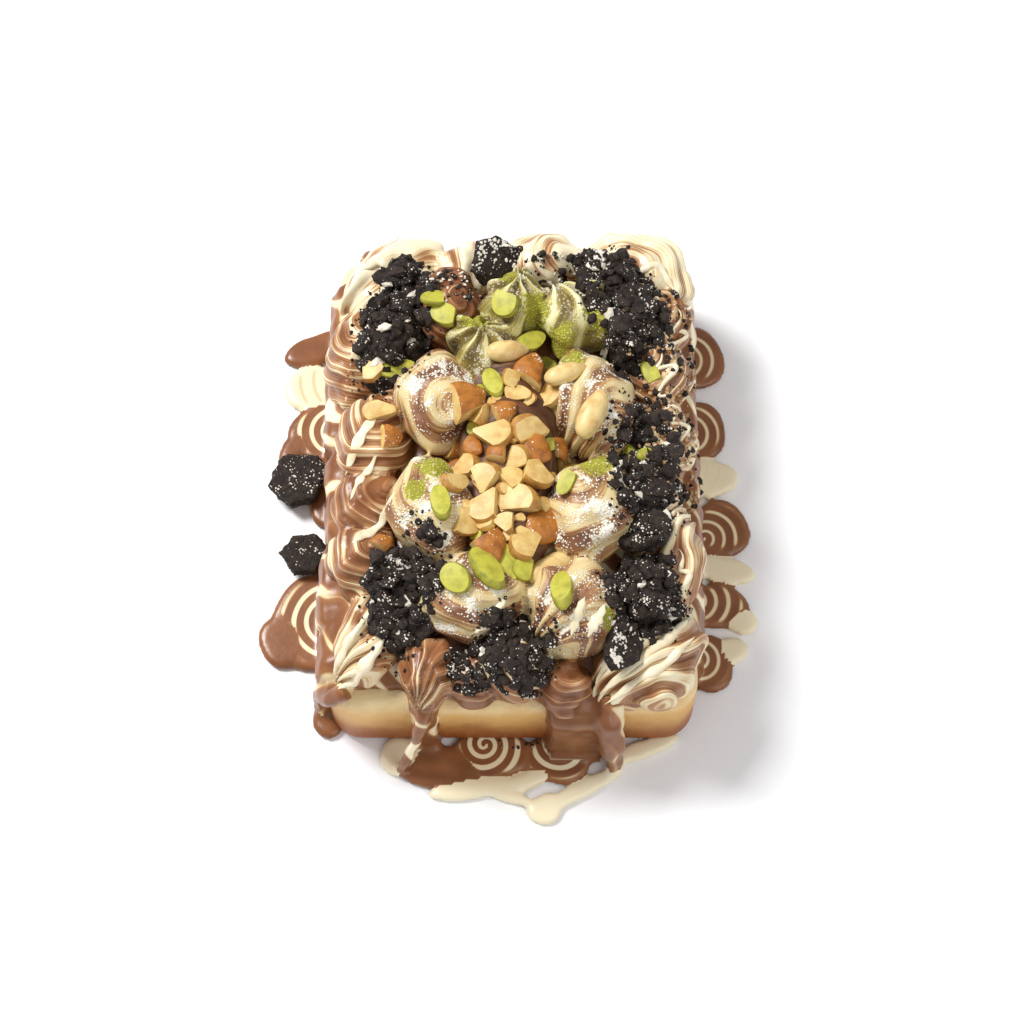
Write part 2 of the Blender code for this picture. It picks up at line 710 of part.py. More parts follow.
def nuts_on(name, trees, grow=0.0):
    """The nuts that lie on a piece apart from the heap."""
    nuts = NUTS_APART.get(name, ())
    return [place_nut(nut, trees, GRAIN_SEED + i, grow) for i, nut in enumerate(nuts)]


def build_waffle_and_sauce():
    """The waffle and the sauce round it, with the cutters that later pieces clear."""
    waffle = build_waffle()
    grown_slab = object_from("grown_slab", slab_mesh(GAP), "waffle")
    sauce = raw_sauce()
    sauce.name = "marbled_sauce"
    boolean(sauce, "DIFFERENCE", [grown_slab])
    keep_largest_shell(sauce)
    return [waffle, sauce], [grown_slab, raw_sauce(GAP)]


def build_piece(name, meshes_at, paint, cutters, ground):
    """One piece, cut clear of all that was there before, and its own cutter for those to come."""
    parts = [object_from(name, bm, paint) for bm in meshes_at(0.0)]
    trees = [tree_of(part) for part in parts]
    piece = fuse(name, [*parts, *nuts_on(name, trees)])
    parts = [object_from(name + "_grown", bm, paint) for bm in meshes_at(GAP)]
    grown = fuse(name + "_grown", [*parts, *nuts_on(name, trees, GAP)])
    boolean(piece, "DIFFERENCE", [*near(piece, cutters), ground])
    keep_largest_shell(piece)
    cutters.append(grown)
    return piece


def build_nut_heap(cutters, ground):
    """The nuts in the middle, fused on the bed that they lie in."""
    bed = object_from("nut_heap", blob_mesh(NUT_BED, 0.0, 12, 6), "nuts")
    trees = [tree_of(bed), *(tree_of(c) for c in cutters)]
    placed = [place_nut(nut, trees, GRAIN_SEED + i) for i, nut in enumerate(NUTS)]
    heap = fuse("nut_heap", [bed, *placed])
    boolean(heap, "DIFFERENCE", [*near(heap, cutters), ground])
    keep_largest_shell(heap)
    return heap


def centre_on_outline(nodes):
    """Moves all pieces so that the middle of the whole outline is over the origin."""
    boxes = [bounds(node) for node in nodes]
    low = [min(low[i] for low, _ in boxes) for i in range(2)]
    high = [max(high[i] for _, high in boxes) for i in range(2)]
    shift = Matrix.Translation((-(low[0] + high[0]) / 2, -(low[1] + high[1]) / 2, 0))
    for node in nodes:
        node.data.transform(shift)


def main():
    """Builds every piece, from the waffle up."""
    clear_scene()
    ground = below_ground()
    nodes, cutters = build_waffle_and_sauce()
    for name, blobs in SUGARED.items():
        paint = "sugared_chocolate" if name == "sugared_cream" else "pistachio_cream"
        meshes_at = lambda grow, row=blobs: [blob_mesh(b, grow, 12, 8) for b in row]
        nodes.append(build_piece(name, meshes_at, paint, cutters, ground))
    for name, blobs in MARBLED.items():
        meshes_at = lambda grow, row=blobs: [blob_mesh(b, grow, 12, 8) for b in row]
        nodes.append(build_piece(name, meshes_at, "marbled_chocolate", cutters, ground))
    for i, (name, shard) in enumerate(SHARDS.items()):
        meshes_at = lambda grow, s=shard, k=i: [shard_mesh(s, GRAIN_SEED + k, grow)]
        nodes.append(build_piece(name, meshes_at, "biscuit", cutters, ground))
    for i, (name, blob) in enumerate(CRUMB_HEAPS.items()):
        meshes_at = lambda grow, b=blob, k=i: [crumb_heap_mesh(b, GRAIN_SEED + k, grow)]
        nodes.append(build_piece(name, meshes_at, "biscuit", cutters, ground))
    nodes.append(build_nut_heap(cutters, ground))
    for helper in [*cutters, ground]:
        bpy.data.objects.remove(helper, do_unlink=True)
    for node in nodes:
        if len(node.data.polygons) > 300 and node.name != "waffle":
            drop_slivers(node, KEPT_SHARE)
    centre_on_outline(nodes)
    for node in nodes:
        node.data.set_sharp_from_angle(angle=math.radians(40))


main()
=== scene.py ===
"""Dresses the loaded dessert waffle for its photograph.

Sizes are real millimetres from the middle of the waffle's underside, X to the right, Y to the
back and Z up, as in the part's source. Frame.place turns them to metres in the row frame.
"""

from __future__ import annotations

import logging
import math
import random
from dataclasses import dataclass, field
from enum import Enum

import bpy
import numpy as np
from mathutils import Matrix, Vector, noise
from mathutils.bvhtree import BVHTree

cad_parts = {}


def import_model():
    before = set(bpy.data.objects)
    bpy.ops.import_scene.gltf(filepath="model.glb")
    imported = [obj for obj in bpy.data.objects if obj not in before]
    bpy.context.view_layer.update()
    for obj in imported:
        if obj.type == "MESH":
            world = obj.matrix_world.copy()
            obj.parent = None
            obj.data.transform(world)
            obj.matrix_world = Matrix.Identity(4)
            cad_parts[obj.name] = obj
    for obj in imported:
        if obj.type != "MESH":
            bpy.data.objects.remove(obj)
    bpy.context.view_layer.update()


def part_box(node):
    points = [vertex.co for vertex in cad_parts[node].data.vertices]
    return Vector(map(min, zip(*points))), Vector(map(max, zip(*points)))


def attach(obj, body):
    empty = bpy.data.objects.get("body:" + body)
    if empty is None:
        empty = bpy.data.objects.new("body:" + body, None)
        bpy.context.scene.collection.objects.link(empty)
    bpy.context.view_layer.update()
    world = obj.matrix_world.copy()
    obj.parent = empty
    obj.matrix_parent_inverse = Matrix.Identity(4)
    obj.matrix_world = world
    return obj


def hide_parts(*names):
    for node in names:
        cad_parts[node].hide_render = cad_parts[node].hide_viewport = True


LOG = logging.getLogger("waffle")
MM = 0.001
BODY = "root"
TURN = 2 * math.pi

# Node settings that many materials share: a mix of colours, a soft step, and a times b plus c.
RGBA = {"data_type": "RGBA"}
SMOOTH = {"interpolation_type": "SMOOTHSTEP"}
TIMES_PLUS = {"operation": "MULTIPLY_ADD"}


class Kind(Enum):
    """The sorts of nut on the waffle."""

    BLANCHED = "blanched_nut_chunks"
    KERNEL = "blanched_kernels"
    ALMOND = "almonds_in_their_skin"
    PISTACHIO = "pistachios"


@dataclass(frozen=True)
class Frame:
    """The row frame, by where the waffle's middle lies in it in millimetres."""

    middle: tuple[float, float]

    def place(self, points: np.ndarray) -> np.ndarray:
        """Turns points in the waffle's millimetres to metres in the row frame."""
        return (points + np.array((*self.middle, 0.0))) * MM


def linear(code: str) -> tuple[float, float, float, float]:
    """Turns an sRGB hex value to linear colour.

    Args:
        code: The colour as #RRGGBB.

    Returns:
        Linear red, green and blue, and an alpha of 1.
    """
    srgb = [int(code[i : i + 2], 16) / 255 for i in (1, 3, 5)]
    red, green, blue = (c / 12.92 if c <= 0.04045 else ((c + 0.055) / 1.055) ** 2.4 for c in srgb)
    return red, green, blue, 1.0


def add_node(
    tree: bpy.types.NodeTree, kind: str, settings: dict, links: dict, out: int | str = 0
) -> bpy.types.NodeSocket:
    """Adds a shader node with its settings and links.

    Args:
        tree: The material's node tree.
        kind: The node's type, without the word that all shader nodes begin with.
        settings: Values for the node's own properties.
        links: For each input, by name or number, the socket to link or the value to set.
        out: The output that is wanted.

    Returns:
        That output's socket. Its node has the others.
    """
    node = tree.nodes.new("ShaderNode" + kind)
    for name, value in settings.items():
        setattr(node, name, value)
    for key, value in links.items():
        socket = node.inputs[key]
        if isinstance(value, bpy.types.NodeSocket):
            tree.links.new(value, socket)
        else:
            socket.default_value = value
    return node.outputs[out]


def new_shader(name: str, roughness: float) -> tuple[bpy.types.NodeTree, bpy.types.Node]:
    """Makes a material.

    Args:
        name: What it is called.
        roughness: Its roughness, where it is the same all over.

    Returns:
        Its node tree and its shader node.
    """
    material = bpy.data.materials.new(name)
    material.use_nodes = True
    shader = material.node_tree.nodes["Principled BSDF"]
    shader.inputs["Roughness"].default_value = roughness
    shader.inputs["IOR"].default_value = 1.46
    return material.node_tree, shader


@dataclass(frozen=True)
class StirredChocolate:
    """Milk and white chocolate stirred once: smooth fat with a soft gloss and winding streaks.

    The flow attribute holds the direction of a point from its swirl's eye, as a cosine and a
    sine, and how far along the swirl it is in millimetres. The streaks turn once for each pitch.
    """

    milk: str = "#8C5834"
    deep: str = "#6C3F22"
    tan: str = "#B17F55"
    ivory: str = "#DCC292"
    white: str = "#F4E7C4"
    pitch_mm: float = 8.5
    broad: float = 0.3
    fine: float = 3.6
    roughness: float = 0.32
    relief_mm: float = 0.25

    def colour(self, tree: bpy.types.NodeTree) -> bpy.types.NodeSocket:
        """Paints the streaks: broad bands with finer ones of uneven width in them.

        Args:
            tree: The material's node tree.

        Returns:
            The colour.
        """
        flow = add_node(tree, "Attribute", {"attribute_name": "flow"}, {}, "Vector")
        x, y, z = add_node(tree, "SeparateXYZ", {}, {0: flow}).node.outputs
        turn = add_node(tree, "Math", {"operation": "ARCTAN2"}, {0: y, 1: x})
        phase = add_node(tree, "Math", TIMES_PLUS, {0: z, 1: TURN / self.pitch_mm, 2: turn})
        sine = add_node(tree, "Math", {"operation": "SINE"}, {0: phase})
        cosine = add_node(tree, "Math", {"operation": "COSINE"}, {0: phase})
        slow = add_node(tree, "Math", {"operation": "MULTIPLY"}, {0: z, 1: 0.1})
        ring = add_node(tree, "CombineXYZ", {}, {0: sine, 1: cosine, 2: slow})
        thin = add_node(
            tree, "TexNoise", {}, {"Vector": ring, "Scale": 1.35, "Detail": 4, "Roughness": 0.6}
        )
        swirl = add_node(tree, "Attribute", {"attribute_name": "swirl"}, {}, "Fac")
        share = add_node(tree, "Attribute", {"attribute_name": "white"}, {}, "Fac")
        lean = add_node(tree, "Math", TIMES_PLUS, {0: share, 1: 2.4, 2: -1.2})
        bands = add_node(tree, "Math", {"operation": "MULTIPLY"}, {0: sine, 1: self.broad})
        streaks = add_node(tree, "Math", TIMES_PLUS, {0: thin, 1: self.fine, 2: -self.fine / 2})
        streaks = add_node(tree, "Math", {"operation": "ADD"}, {0: streaks, 1: bands})
        level = add_node(tree, "Math", TIMES_PLUS, {0: streaks, 1: swirl, 2: lean})
        pale = add_node(tree, "MapRange", SMOOTH, {"Value": level, "From Min": -0.14, "From Max": 0.16})
        place = add_node(tree, "TexCoord", {}, {}, "Object")
        cloud = add_node(tree, "TexNoise", {}, {"Vector": place, "Scale": 1 / (9 * MM), "Detail": 3})
        tone = add_node(tree, "MapRange", {}, {"Value": cloud, "From Min": 0.36, "From Max": 0.64})
        brown = add_node(tree, "Mix", RGBA, {0: tone, 6: linear(self.milk), 7: linear(self.deep)}, 2)
        stirred = add_node(tree, "MapRange", {}, {"Value": level, "From Min": -0.75, "From Max": -0.1})
        brown = add_node(tree, "Mix", RGBA, {0: stirred, 6: brown, 7: linear(self.tan)}, 2)
        rich = add_node(tree, "MapRange", {}, {"Value": level, "From Min": 0.05, "From Max": 0.55})
        light = add_node(tree, "Mix", RGBA, {0: rich, 6: linear(self.ivory), 7: linear(self.white)}, 2)
        return add_node(tree, "Mix", RGBA, {0: pale, 6: brown, 7: light}, 2)

    def material(self, name: str) -> bpy.types.Material:
        """Makes the material, with shallow drag marks in the soft fat.

        Args:
            name: What it is called.

        Returns:
            The material.
        """
        tree, shader = new_shader(name, self.roughness)
        tree.links.new(self.colour(tree), shader.inputs["Base Color"])
        place = add_node(tree, "TexCoord", {}, {}, "Object")
        marks = add_node(tree, "TexNoise", {}, {"Vector": place, "Scale": 1 / (2.4 * MM), "Detail": 3})
        bump = add_node(
            tree, "Bump", {}, {"Height": marks, "Distance": self.relief_mm * MM, "Strength": 0.6}
        )
        tree.links.new(bump, shader.inputs["Normal"])
        return bpy.data.materials[name]


@dataclass(frozen=True)
class SugaredCream:
    """White chocolate cream under icing sugar: matt white grains on top, brown in the folds and on the
    sides, which is partly painted shade.

    The green attribute says where ground pistachio lies. Sugar grains of 0.1 mm are too fine to
    show, so they are drawn as dots about 1 mm apart.
    """

    under: StirredChocolate = StirredChocolate(
        "#875A3E", "#684028", "#AE8154", "#C9A972", "#DFC994", pitch_mm=11.0, broad=0.6, fine=3.8
    )
    sugar: str = "#F6F0DE"
    green: str = "#CFCB4A"
    olive: str = "#94902F"
    sugared: float = 1.0
    grain_mm: float = 0.95
    relief_mm: float = 0.4
    roughness: float = 0.42
    sugar_roughness: float = 0.82

    def material(self, name: str) -> bpy.types.Material:
        """Makes the material.

        Args:
            name: What it is called.

        Returns:
            The material.
        """
        tree, shader = new_shader(name, self.roughness)
        base = self.under.colour(tree)
        place = add_node(tree, "TexCoord", {}, {}, "Object")
        normal = add_node(tree, "NewGeometry", {}, {}, "Normal")
        lift = add_node(tree, "SeparateXYZ", {}, {0: normal}, "Z")
        near = add_node(
            tree, "TexVoronoi", {}, {"Vector": place, "Scale": 1 / (self.grain_mm * MM)}, "Distance"
        )
        grains = add_node(tree, "MapRange", {}, {"Value": near, "From Min": 0.5, "From Max": 0.2})
        drifts = add_node(tree, "TexNoise", {}, {"Vector": place, "Scale": 1 / (7 * MM), "Detail": 4})
        cover = add_node(tree, "Math", TIMES_PLUS, {0: drifts, 1: 2.6, 2: -1.55})
        # Sugar lies thicker on faces that look up; the brown this leaves on the lower sides is partly
        # painted shade.
        cover = add_node(tree, "Math", TIMES_PLUS, {0: lift, 1: 0.35, 2: cover})
        cover = add_node(tree, "Math", TIMES_PLUS, {0: grains, 1: 0.6, 2: cover})
        dusted = add_node(
            tree,
            "MapRange",
            SMOOTH,
            {"Value": cover, "From Min": 0.24, "From Max": 0.42, "To Max": self.sugared},
        )
        spread = add_node(tree, "Attribute", {"attribute_name": "green"}, {}, "Fac")
        coarse = add_node(tree, "TexNoise", {}, {"Vector": place, "Scale": 1 / (1.2 * MM), "Detail": 2})
        heap = add_node(tree, "Math", TIMES_PLUS, {0: coarse, 1: 1.1, 2: spread})
        powder = add_node(tree, "MapRange", SMOOTH, {"Value": heap, "From Min": 0.9, "From Max": 1.08})
        tint = add_node(tree, "Mix", RGBA, {0: grains, 6: linear(self.olive), 7: linear(self.green)}, 2)
        colour = add_node(tree, "Mix", RGBA, {0: dusted, 6: base, 7: linear(self.sugar)}, 2)
        colour = add_node(tree, "Mix", RGBA, {0: powder, 6: colour, 7: tint}, 2)
        tree.links.new(colour, shader.inputs["Base Color"])
        lumps = add_node(tree, "Math", {"operation": "MAXIMUM"}, {0: dusted, 1: powder})
        rise = self.sugar_roughness - self.roughness
        matt = add_node(tree, "Math", TIMES_PLUS, {0: lumps, 1: rise, 2: self.roughness})
        tree.links.new(matt, shader.inputs["Roughness"])
        height = add_node(tree, "Math", {"operation": "MULTIPLY"}, {0: grains, 1: lumps})
        bump = add_node(
            tree, "Bump", {}, {"Height": height, "Distance": self.relief_mm * MM, "Strength": 0.8}
        )
        tree.links.new(bump, shader.inputs["Normal"])
        return bpy.data.materials[name]


@dataclass(frozen=True)
class BakedBatter:
    """Baked batter: pale towards the top, gold in between and amber towards the bottom, with fine pores.
    """

    gold: str = "#DBAC64"
    amber: str = "#99531F"
    pale: str = "#F1DFAE"
    pore_mm: float = 1.3
    relief_mm: float = 0.6
    roughness: float = 0.5

    def material(self, name: str) -> bpy.types.Material:
        """Makes the material.

        Args:
            name: What it is called.

        Returns:
            The material.
        """
        tree, shader = new_shader(name, self.roughness)
        place = add_node(tree, "TexCoord", {}, {}, "Object")
        height = add_node(tree, "SeparateXYZ", {}, {0: place}, "Z")
        patchy = add_node(tree, "TexNoise", {}, {"Vector": place, "Scale": 1 / (12 * MM), "Detail": 3})
        level = add_node(tree, "Math", TIMES_PLUS, {0: patchy, 1: 0.014, 2: height})
        low = add_node(tree, "MapRange", SMOOTH, {"Value": level, "From Min": 0.032, "From Max": 0.013})
        high = add_node(tree, "MapRange", SMOOTH, {"Value": level, "From Min": 0.03, "From Max": 0.042})
        colour = add_node(tree, "Mix", RGBA, {0: high, 6: linear(self.gold), 7: linear(self.pale)}, 2)
        colour = add_node(tree, "Mix", RGBA, {0: low, 6: colour, 7: linear(self.amber)}, 2)
        tree.links.new(colour, shader.inputs["Base Color"])
        pores = add_node(
            tree, "TexNoise", {}, {"Vector": place, "Scale": 1 / (self.pore_mm * MM), "Detail": 3}
        )
        bump = add_node(
            tree, "Bump", {}, {"Height": pores, "Distance": self.relief_mm * MM, "Strength": 0.6}
        )
        tree.links.new(bump, shader.inputs["Normal"])
        return bpy.data.materials[name]


@dataclass(frozen=True)
class DryFood:
    """Nut flesh, nut skin, biscuit or icing: spotted, with a grained surface that may hold sugar.

    The sugar's grains are too fine to show, so they are drawn as dots 1 mm apart.
    """

    main: str
    spot: str
    spot_mm: float = 2.0
    roughness: float = 0.55
    relief_mm: float = 0.15
    sugar: float = 0.0
    grain_mm: float = 0.6
    sugar_mm: float = 1.0
    sugar_white: str = "#E9E0D2"

    def material(self, name: str) -> bpy.types.Material:
        """Makes the material.

        Args:
            name: What it is called.

        Returns:
            The material.
        """
        tree, shader = new_shader(name, self.roughness)
        place = add_node(tree, "TexCoord", {}, {}, "Object")
        patches = add_node(
            tree, "TexNoise", {}, {"Vector": place, "Scale": 1 / (self.spot_mm * MM), "Detail": 4}
        )
        spots = add_node(tree, "MapRange", {}, {"Value": patches, "From Min": 0.42, "From Max": 0.66})
        colour = add_node(tree, "Mix", RGBA, {0: spots, 6: linear(self.main), 7: linear(self.spot)}, 2)
        grains = add_node(
            tree, "TexNoise", {}, {"Vector": place, "Scale": 1 / (self.grain_mm * MM), "Detail": 2}
        )
        if self.sugar:
            normal = add_node(tree, "NewGeometry", {}, {}, "Normal")
            lift = add_node(tree, "SeparateXYZ", {}, {0: normal}, "Z")
            near = add_node(
                tree, "TexVoronoi", {}, {"Vector": place, "Scale": 1 / (self.sugar_mm * MM)}, "Distance"
            )
            drift = add_node(tree, "TexNoise", {}, {"Vector": place, "Scale": 1 / (5 * MM), "Detail": 2})
            cover = add_node(tree, "Math", TIMES_PLUS, {0: drift, 1: 1.6, 2: self.sugar - 1.1})
            cover = add_node(tree, "Math", TIMES_PLUS, {0: lift, 1: 0.12, 2: cover})
            cover = add_node(tree, "Math", {"operation": "SUBTRACT"}, {0: cover, 1: near})
            dusted = add_node(tree, "MapRange", {}, {"Value": cover, "From Min": -0.05, "From Max": 0.02})
            white = linear(self.sugar_white)
            colour = add_node(tree, "Mix", RGBA, {0: dusted, 6: colour, 7: white}, 2)
        tree.links.new(colour, shader.inputs["Base Color"])
        bump = add_node(
            tree, "Bump", {}, {"Height": grains, "Distance": self.relief_mm * MM, "Strength": 0.9}
        )
        tree.links.new(bump, shader.inputs["Normal"])
        return bpy.data.materials[name]


def deselect() -> None:
    """Clears the selection, as an operator acts on all that is selected."""
    for obj in bpy.context.selected_objects:
        obj.select_set(False)


def activate(obj: bpy.types.Object) -> None:
    """Makes this the one selected object."""
    deselect()
    obj.select_set(True)
    bpy.context.view_layer.objects.active = obj


def points_of(obj: bpy.types.Object) -> np.ndarray:
    """The object's vertices as an array."""
    flat = np.empty(len(obj.data.vertices) * 3)
    obj.data.vertices.foreach_get("co", flat)
    return flat.reshape(-1, 3)


def normals_of(obj: bpy.types.Object) -> np.ndarray:
    """The object's vertex normals as an array."""
    flat = np.empty(len(obj.data.vertices) * 3)
    obj.data.vertices.foreach_get("normal", flat)
    return flat.reshape(-1, 3)


def move_points(obj: bpy.types.Object, points: np.ndarray) -> None:
    """Sets the object's vertices from an array."""
    obj.data.vertices.foreach_set("co", np.ascontiguousarray(points, float).ravel())
    obj.data.update()


def rough(points: np.ndarray, size_mm: float, shift: float = 0.0) -> np.ndarray:
    """Smooth noise from about -1 to 1 at each point.

    Args:
        points: The points in millimetres.
        size_mm: How wide its bumps are.
        shift: Moves the pattern, so that two of one size differ.

    Returns:
        One value for each point.
    """
    return np.array([noise.noise(Vector(p) / size_mm + Vector((shift, shift, 0))) for p in points])


def eased(share: np.ndarray) -> np.ndarray:
    """Turns a straight run from 0 to 1 to one with soft ends."""
    return share**2 * (3 - 2 * share)


def join(pieces: list[bpy.types.Object], name: str) -> bpy.types.Object:
    """Joins objects into the first.

    Args:
        pieces: The objects, which end up in one mesh.
        name: The name of the result.

    Returns:
        The joined object.
    """
    activate(pieces[0])
    for piece in pieces:
        piece.select_set(True)
    bpy.ops.object.join()
    pieces[0].name = pieces[0].data.name = name
    deselect()
    return pieces[0]


def apply_modifier(obj: bpy.types.Object, kind: str, **settings: object) -> None:
    """Adds a modifier with its settings and applies it."""
    modifier = obj.modifiers.new(kind.lower(), kind)
    for name, value in settings.items():
        setattr(modifier, name, value)
    activate(obj)
    bpy.ops.object.modifier_apply(modifier=modifier.name)
    deselect()


def set_attribute(obj: bpy.types.Object, name: str, values: np.ndarray) -> None:
    """Stores one number or one vector for each vertex, for the material to read."""
    kind, key = ("FLOAT_VECTOR", "vector") if values.ndim == 2 else ("FLOAT", "value")
    attribute = obj.data.attributes.new(name, kind, "POINT")
    attribute.data.foreach_set(key, np.ascontiguousarray(values, np.float32).ravel())


def finish_piece(obj: bpy.types.Object, paints: list[bpy.types.Material], slot: str, *nodes: str) -> None:
    """Gives a piece its materials and its place on the body, and hides the nodes it stands for.

    Args:
        obj: The piece, in the row frame.
        paints: Its materials, in the order of its faces' slots, or none where it has them already.
        slot: The record's material slot. It is not used.
        nodes: The CAD nodes that it replaces.
    """
    for paint in paints:
        obj.data.materials.append(paint)
    obj.data.shade_smooth()
    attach(obj, BODY)
    if nodes:
        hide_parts(*nodes)
    heights, faces = points_of(obj)[:, 2] / MM, len(obj.data.polygons)
    LOG.info("%s: %d faces, %.1f to %.1f mm", obj.name, faces, heights.min(), heights.max())


def unit_ball(segments: int, rings: int) -> bpy.types.Object:
    """A unit sphere, to be shaped into a lump."""
    deselect()
    bpy.ops.mesh.primitive_uv_sphere_add(segments=segments, ring_count=rings, radius=1)
    return bpy.context.object


def unit_rock(detail: int) -> bpy.types.Object:
    """A unit ball of even triangles, to be cut into a nut or a crumb."""
    deselect()
    bpy.ops.mesh.primitive_ico_sphere_add(subdivisions=detail, radius=1)
    return bpy.context.object


def stacked(name: str, rings: list[np.ndarray]) -> bpy.types.Object:
    """Extrudes a disc once for each ring and moves each level on to its ring.

    Args:
        name: The object's name.
        rings: Rings of the same number of points, from the low end to the high end.

    Returns:
        The closed skin.
    """
    count = len(rings[0])
    deselect()
    bpy.ops.mesh.primitive_circle_add(vertices=count, radius=1, fill_type="TRIFAN")
    obj = bpy.context.object
    bpy.ops.object.mode_set(mode="EDIT")
    bpy.ops.mesh.select_all(action="SELECT")
    for _ in rings[1:]:
        bpy.ops.mesh.extrude_region_move(TRANSFORM_OT_translate={"value": (0, 0, 1)})
    bpy.ops.object.mode_set(mode="OBJECT")
    start = points_of(obj)
    level = np.rint(start[:, 2]).astype(int)
    angle = np.arctan2(start[:, 1], start[:, 0])
    first = angle[(level == 0) & (np.hypot(start[:, 0], start[:, 1]) > 0.5)].min()
    step = np.rint((angle - first) / (TURN / count)).astype(int) % count
    stack = np.array(rings)
    points = stack[level, step]
    middle = np.hypot(start[:, 0], start[:, 1]) < 0.5
    points[middle] = stack.mean(axis=1)[level[middle]]
    move_points(obj, points)
    activate(obj)
    bpy.ops.object.mode_set(mode="EDIT")
    bpy.ops.mesh.select_all(action="SELECT")
    bpy.ops.mesh.normals_make_consistent(inside=False)
    bpy.ops.object.mode_set(mode="OBJECT")
    deselect()
    obj.name = obj.data.name = name
    return obj


class Streaks(Enum):
    """How the streaks lie on a lump of cream."""

    WOUND = "wound round the eye"
    PLEATED = "running out from the eye"
    DRAWN = "drawn side by side towards the eye"


@dataclass(frozen=True)
class Lump:
    """An egg-shaped lump of cream with soft folds, as in the solids, and its streaks.

    The eye is where its streaks start, as an offset from its middle.
    """

    at: tuple[float, float, float]
    radii: tuple[float, float, float]
    turn: float = 0.0
    folds: int = 0
    depth: float = 0.0
    twist: float = 0.0
    white: float = 0.5
    eye: tuple[float, float] = (0.0, 0.0)
    streaks: Streaks = Streaks.WOUND
    pitch: float = 8.5
    ridge: float = 0.45

    def turned(self) -> np.ndarray:
        """The lump's turn about Z as a 3 by 3 matrix."""
        return np.array(Matrix.Rotation(math.radians(self.turn), 3, "Z"))

    def shape(self, unit: np.ndarray) -> np.ndarray:
        """Moves points of a unit sphere on to the lump.

        Args:
            unit: The sphere's points.

        Returns:
            The lump's points in the waffle's millimetres.
        """
        x, y, z = unit.T
        fold = np.cos(self.folds * np.arctan2(y, x) + self.twist * math.pi * z)
        swell = 1 + (self.depth * fold * np.hypot(x, y) if self.folds else 0 * x)
        shift = Vector(self.at) * 0.37
        wobble = np.array([noise.noise(Vector(p) * 1.3 + shift) for p in unit])
        points = unit * np.array(self.radii) * (swell * (1 + 0.05 * wobble))[:, None]
        return points @ self.turned().T + np.array(self.at)

    def nearness(self, points: np.ndarray) -> np.ndarray:
        """How many radii each point is from the lump's middle."""
        local = (points - np.array(self.at)) @ self.turned()
        return np.linalg.norm(local / np.array(self.radii), axis=1)

    def flow(self, points: np.ndarray, bend: np.ndarray, pitch: float) -> np.ndarray:
        """Where each point lies in the lump's swirl, as StirredChocolate reads it.

        Args:
            points: The points.
            bend: A slow wobble for each point, in millimetres.
            pitch: The pitch that the material counts in.

        Returns:
            Three numbers for each point.
        """
        x, y = (points[:, :2] - np.array(self.at[:2]) - np.array(self.eye)).T
        drop = self.at[2] - points[:, 2]
        along = np.hypot(x, y) + 0.8 * drop
        turn = np.arctan2(y, x)
        if self.streaks is Streaks.PLEATED:
            count = max(3, round(TURN * max(self.radii[:2]) / self.pitch))
            turn, along = count * turn, 0.25 * along
        if self.streaks is Streaks.DRAWN:
            reach = math.hypot(*self.eye) or 1.0
            away = math.atan2(-self.eye[1], -self.eye[0])
            side = (turn - away + math.pi) % TURN - math.pi
            turn, along = 0 * turn, side * reach + 0.1 * drop
        return np.column_stack((np.cos(turn), np.sin(turn), (along + bend) * pitch / self.pitch))


@dataclass(frozen=True)
class Puddle:
    """A flat pool of sauce with a round edge, as in the solids, and the swirl in it."""

    x: float
    y: float
    half_width: float
    half_length: float
    turn: float = 0.0
    white: float = 0.2
    swirl: float = 1.0
    eye: tuple[float, float] = (0.0, 0.0)

    def reach(self, angle: np.ndarray) -> np.ndarray:
        """How far the pool's edge is from its middle in each direction."""
        a = angle - math.radians(self.turn)
        oval = 1 / np.hypot(np.cos(a) / self.half_width, np.sin(a) / self.half_length)
        return oval * (1 + 0.05 * np.cos(3 * a + self.x))

    def nearness(self, points: np.ndarray) -> np.ndarray:
        """How far out each point is on the way to the pool's edge."""
        across, along = points[:, 0] - self.x, points[:, 1] - self.y
        return np.hypot(across, along) / self.reach(np.arctan2(along, across))


WOUND, PLEATED, DRAWN = Streaks.WOUND, Streaks.PLEATED, Streaks.DRAWN

SUGARED = (
    Lump((-1.0, -20.0, 44), (23.0, 50.0, 10), white=0.6),
    Lump((-12.5, -54.0, 51), (17.5, 14.5, 15), 10, 4, 0.05, 0.5, 0.62, (10, 12), WOUND, 13),
    Lump((19.5, -57.5, 50), (17.0, 17.0, 15), -20, 4, 0.05, 0.6, 0.64, (-16, -14), DRAWN, 9, 0.7),
    Lump((-25.5, -24.0, 52), (15.0, 19.0, 15), 15, 4, 0.05, 0.4, 0.68, (8, 9), WOUND, 13),
    Lump((25.5, -24.0, 52), (15.5, 19.5, 15), -15, 4, 0.05, 0.5, 0.66, (-6, 9), WOUND, 12),
    Lump((-24.5, 15.5, 52), (15.0, 18.0, 15), 0, 4, 0.05, 0.5, 0.66, (6, -10), WOUND, 13),
    Lump((26.5, 13.5, 52), (15.0, 21.5, 15), 20, 4, 0.05, 0.5, 0.6, (-14, -22), DRAWN, 8, 0.8),
)

POWDERED = (
    Lump((-10.5, 34.0, 53), (11.5, 13.5, 13), 20, 3, 0.12, 0.3, 0.24, (1, 4), PLEATED, 11, 1.2),
    Lump((1.5, 51.0, 53), (12.5, 13.0, 14), 0, 4, 0.12, 0.4, 0.26, (1, 7), PLEATED, 10, 1.3),
    Lump((21.5, 46.5, 53), (15.5, 14.0, 13), -25, 4, 0.11, 0.4, 0.36, (-8, 13), PLEATED, 9, 1.3),
)

# Where ground pistachio lies, as (x, y, radius).
CLOUD_GREEN = (
    (-25, -13, 7),
    (-31, -22, 5),
    (27, -12, 7),
    (19, -8, 5),
    (-9, 24, 6),
    (20, 27, 5),
    (30, -64, 4),
)
FOLDS_GREEN = ((-12, 42, 6), (8, 46, 6), (30, 44, 8), (16, 36, 6), (-2, 58, 5))

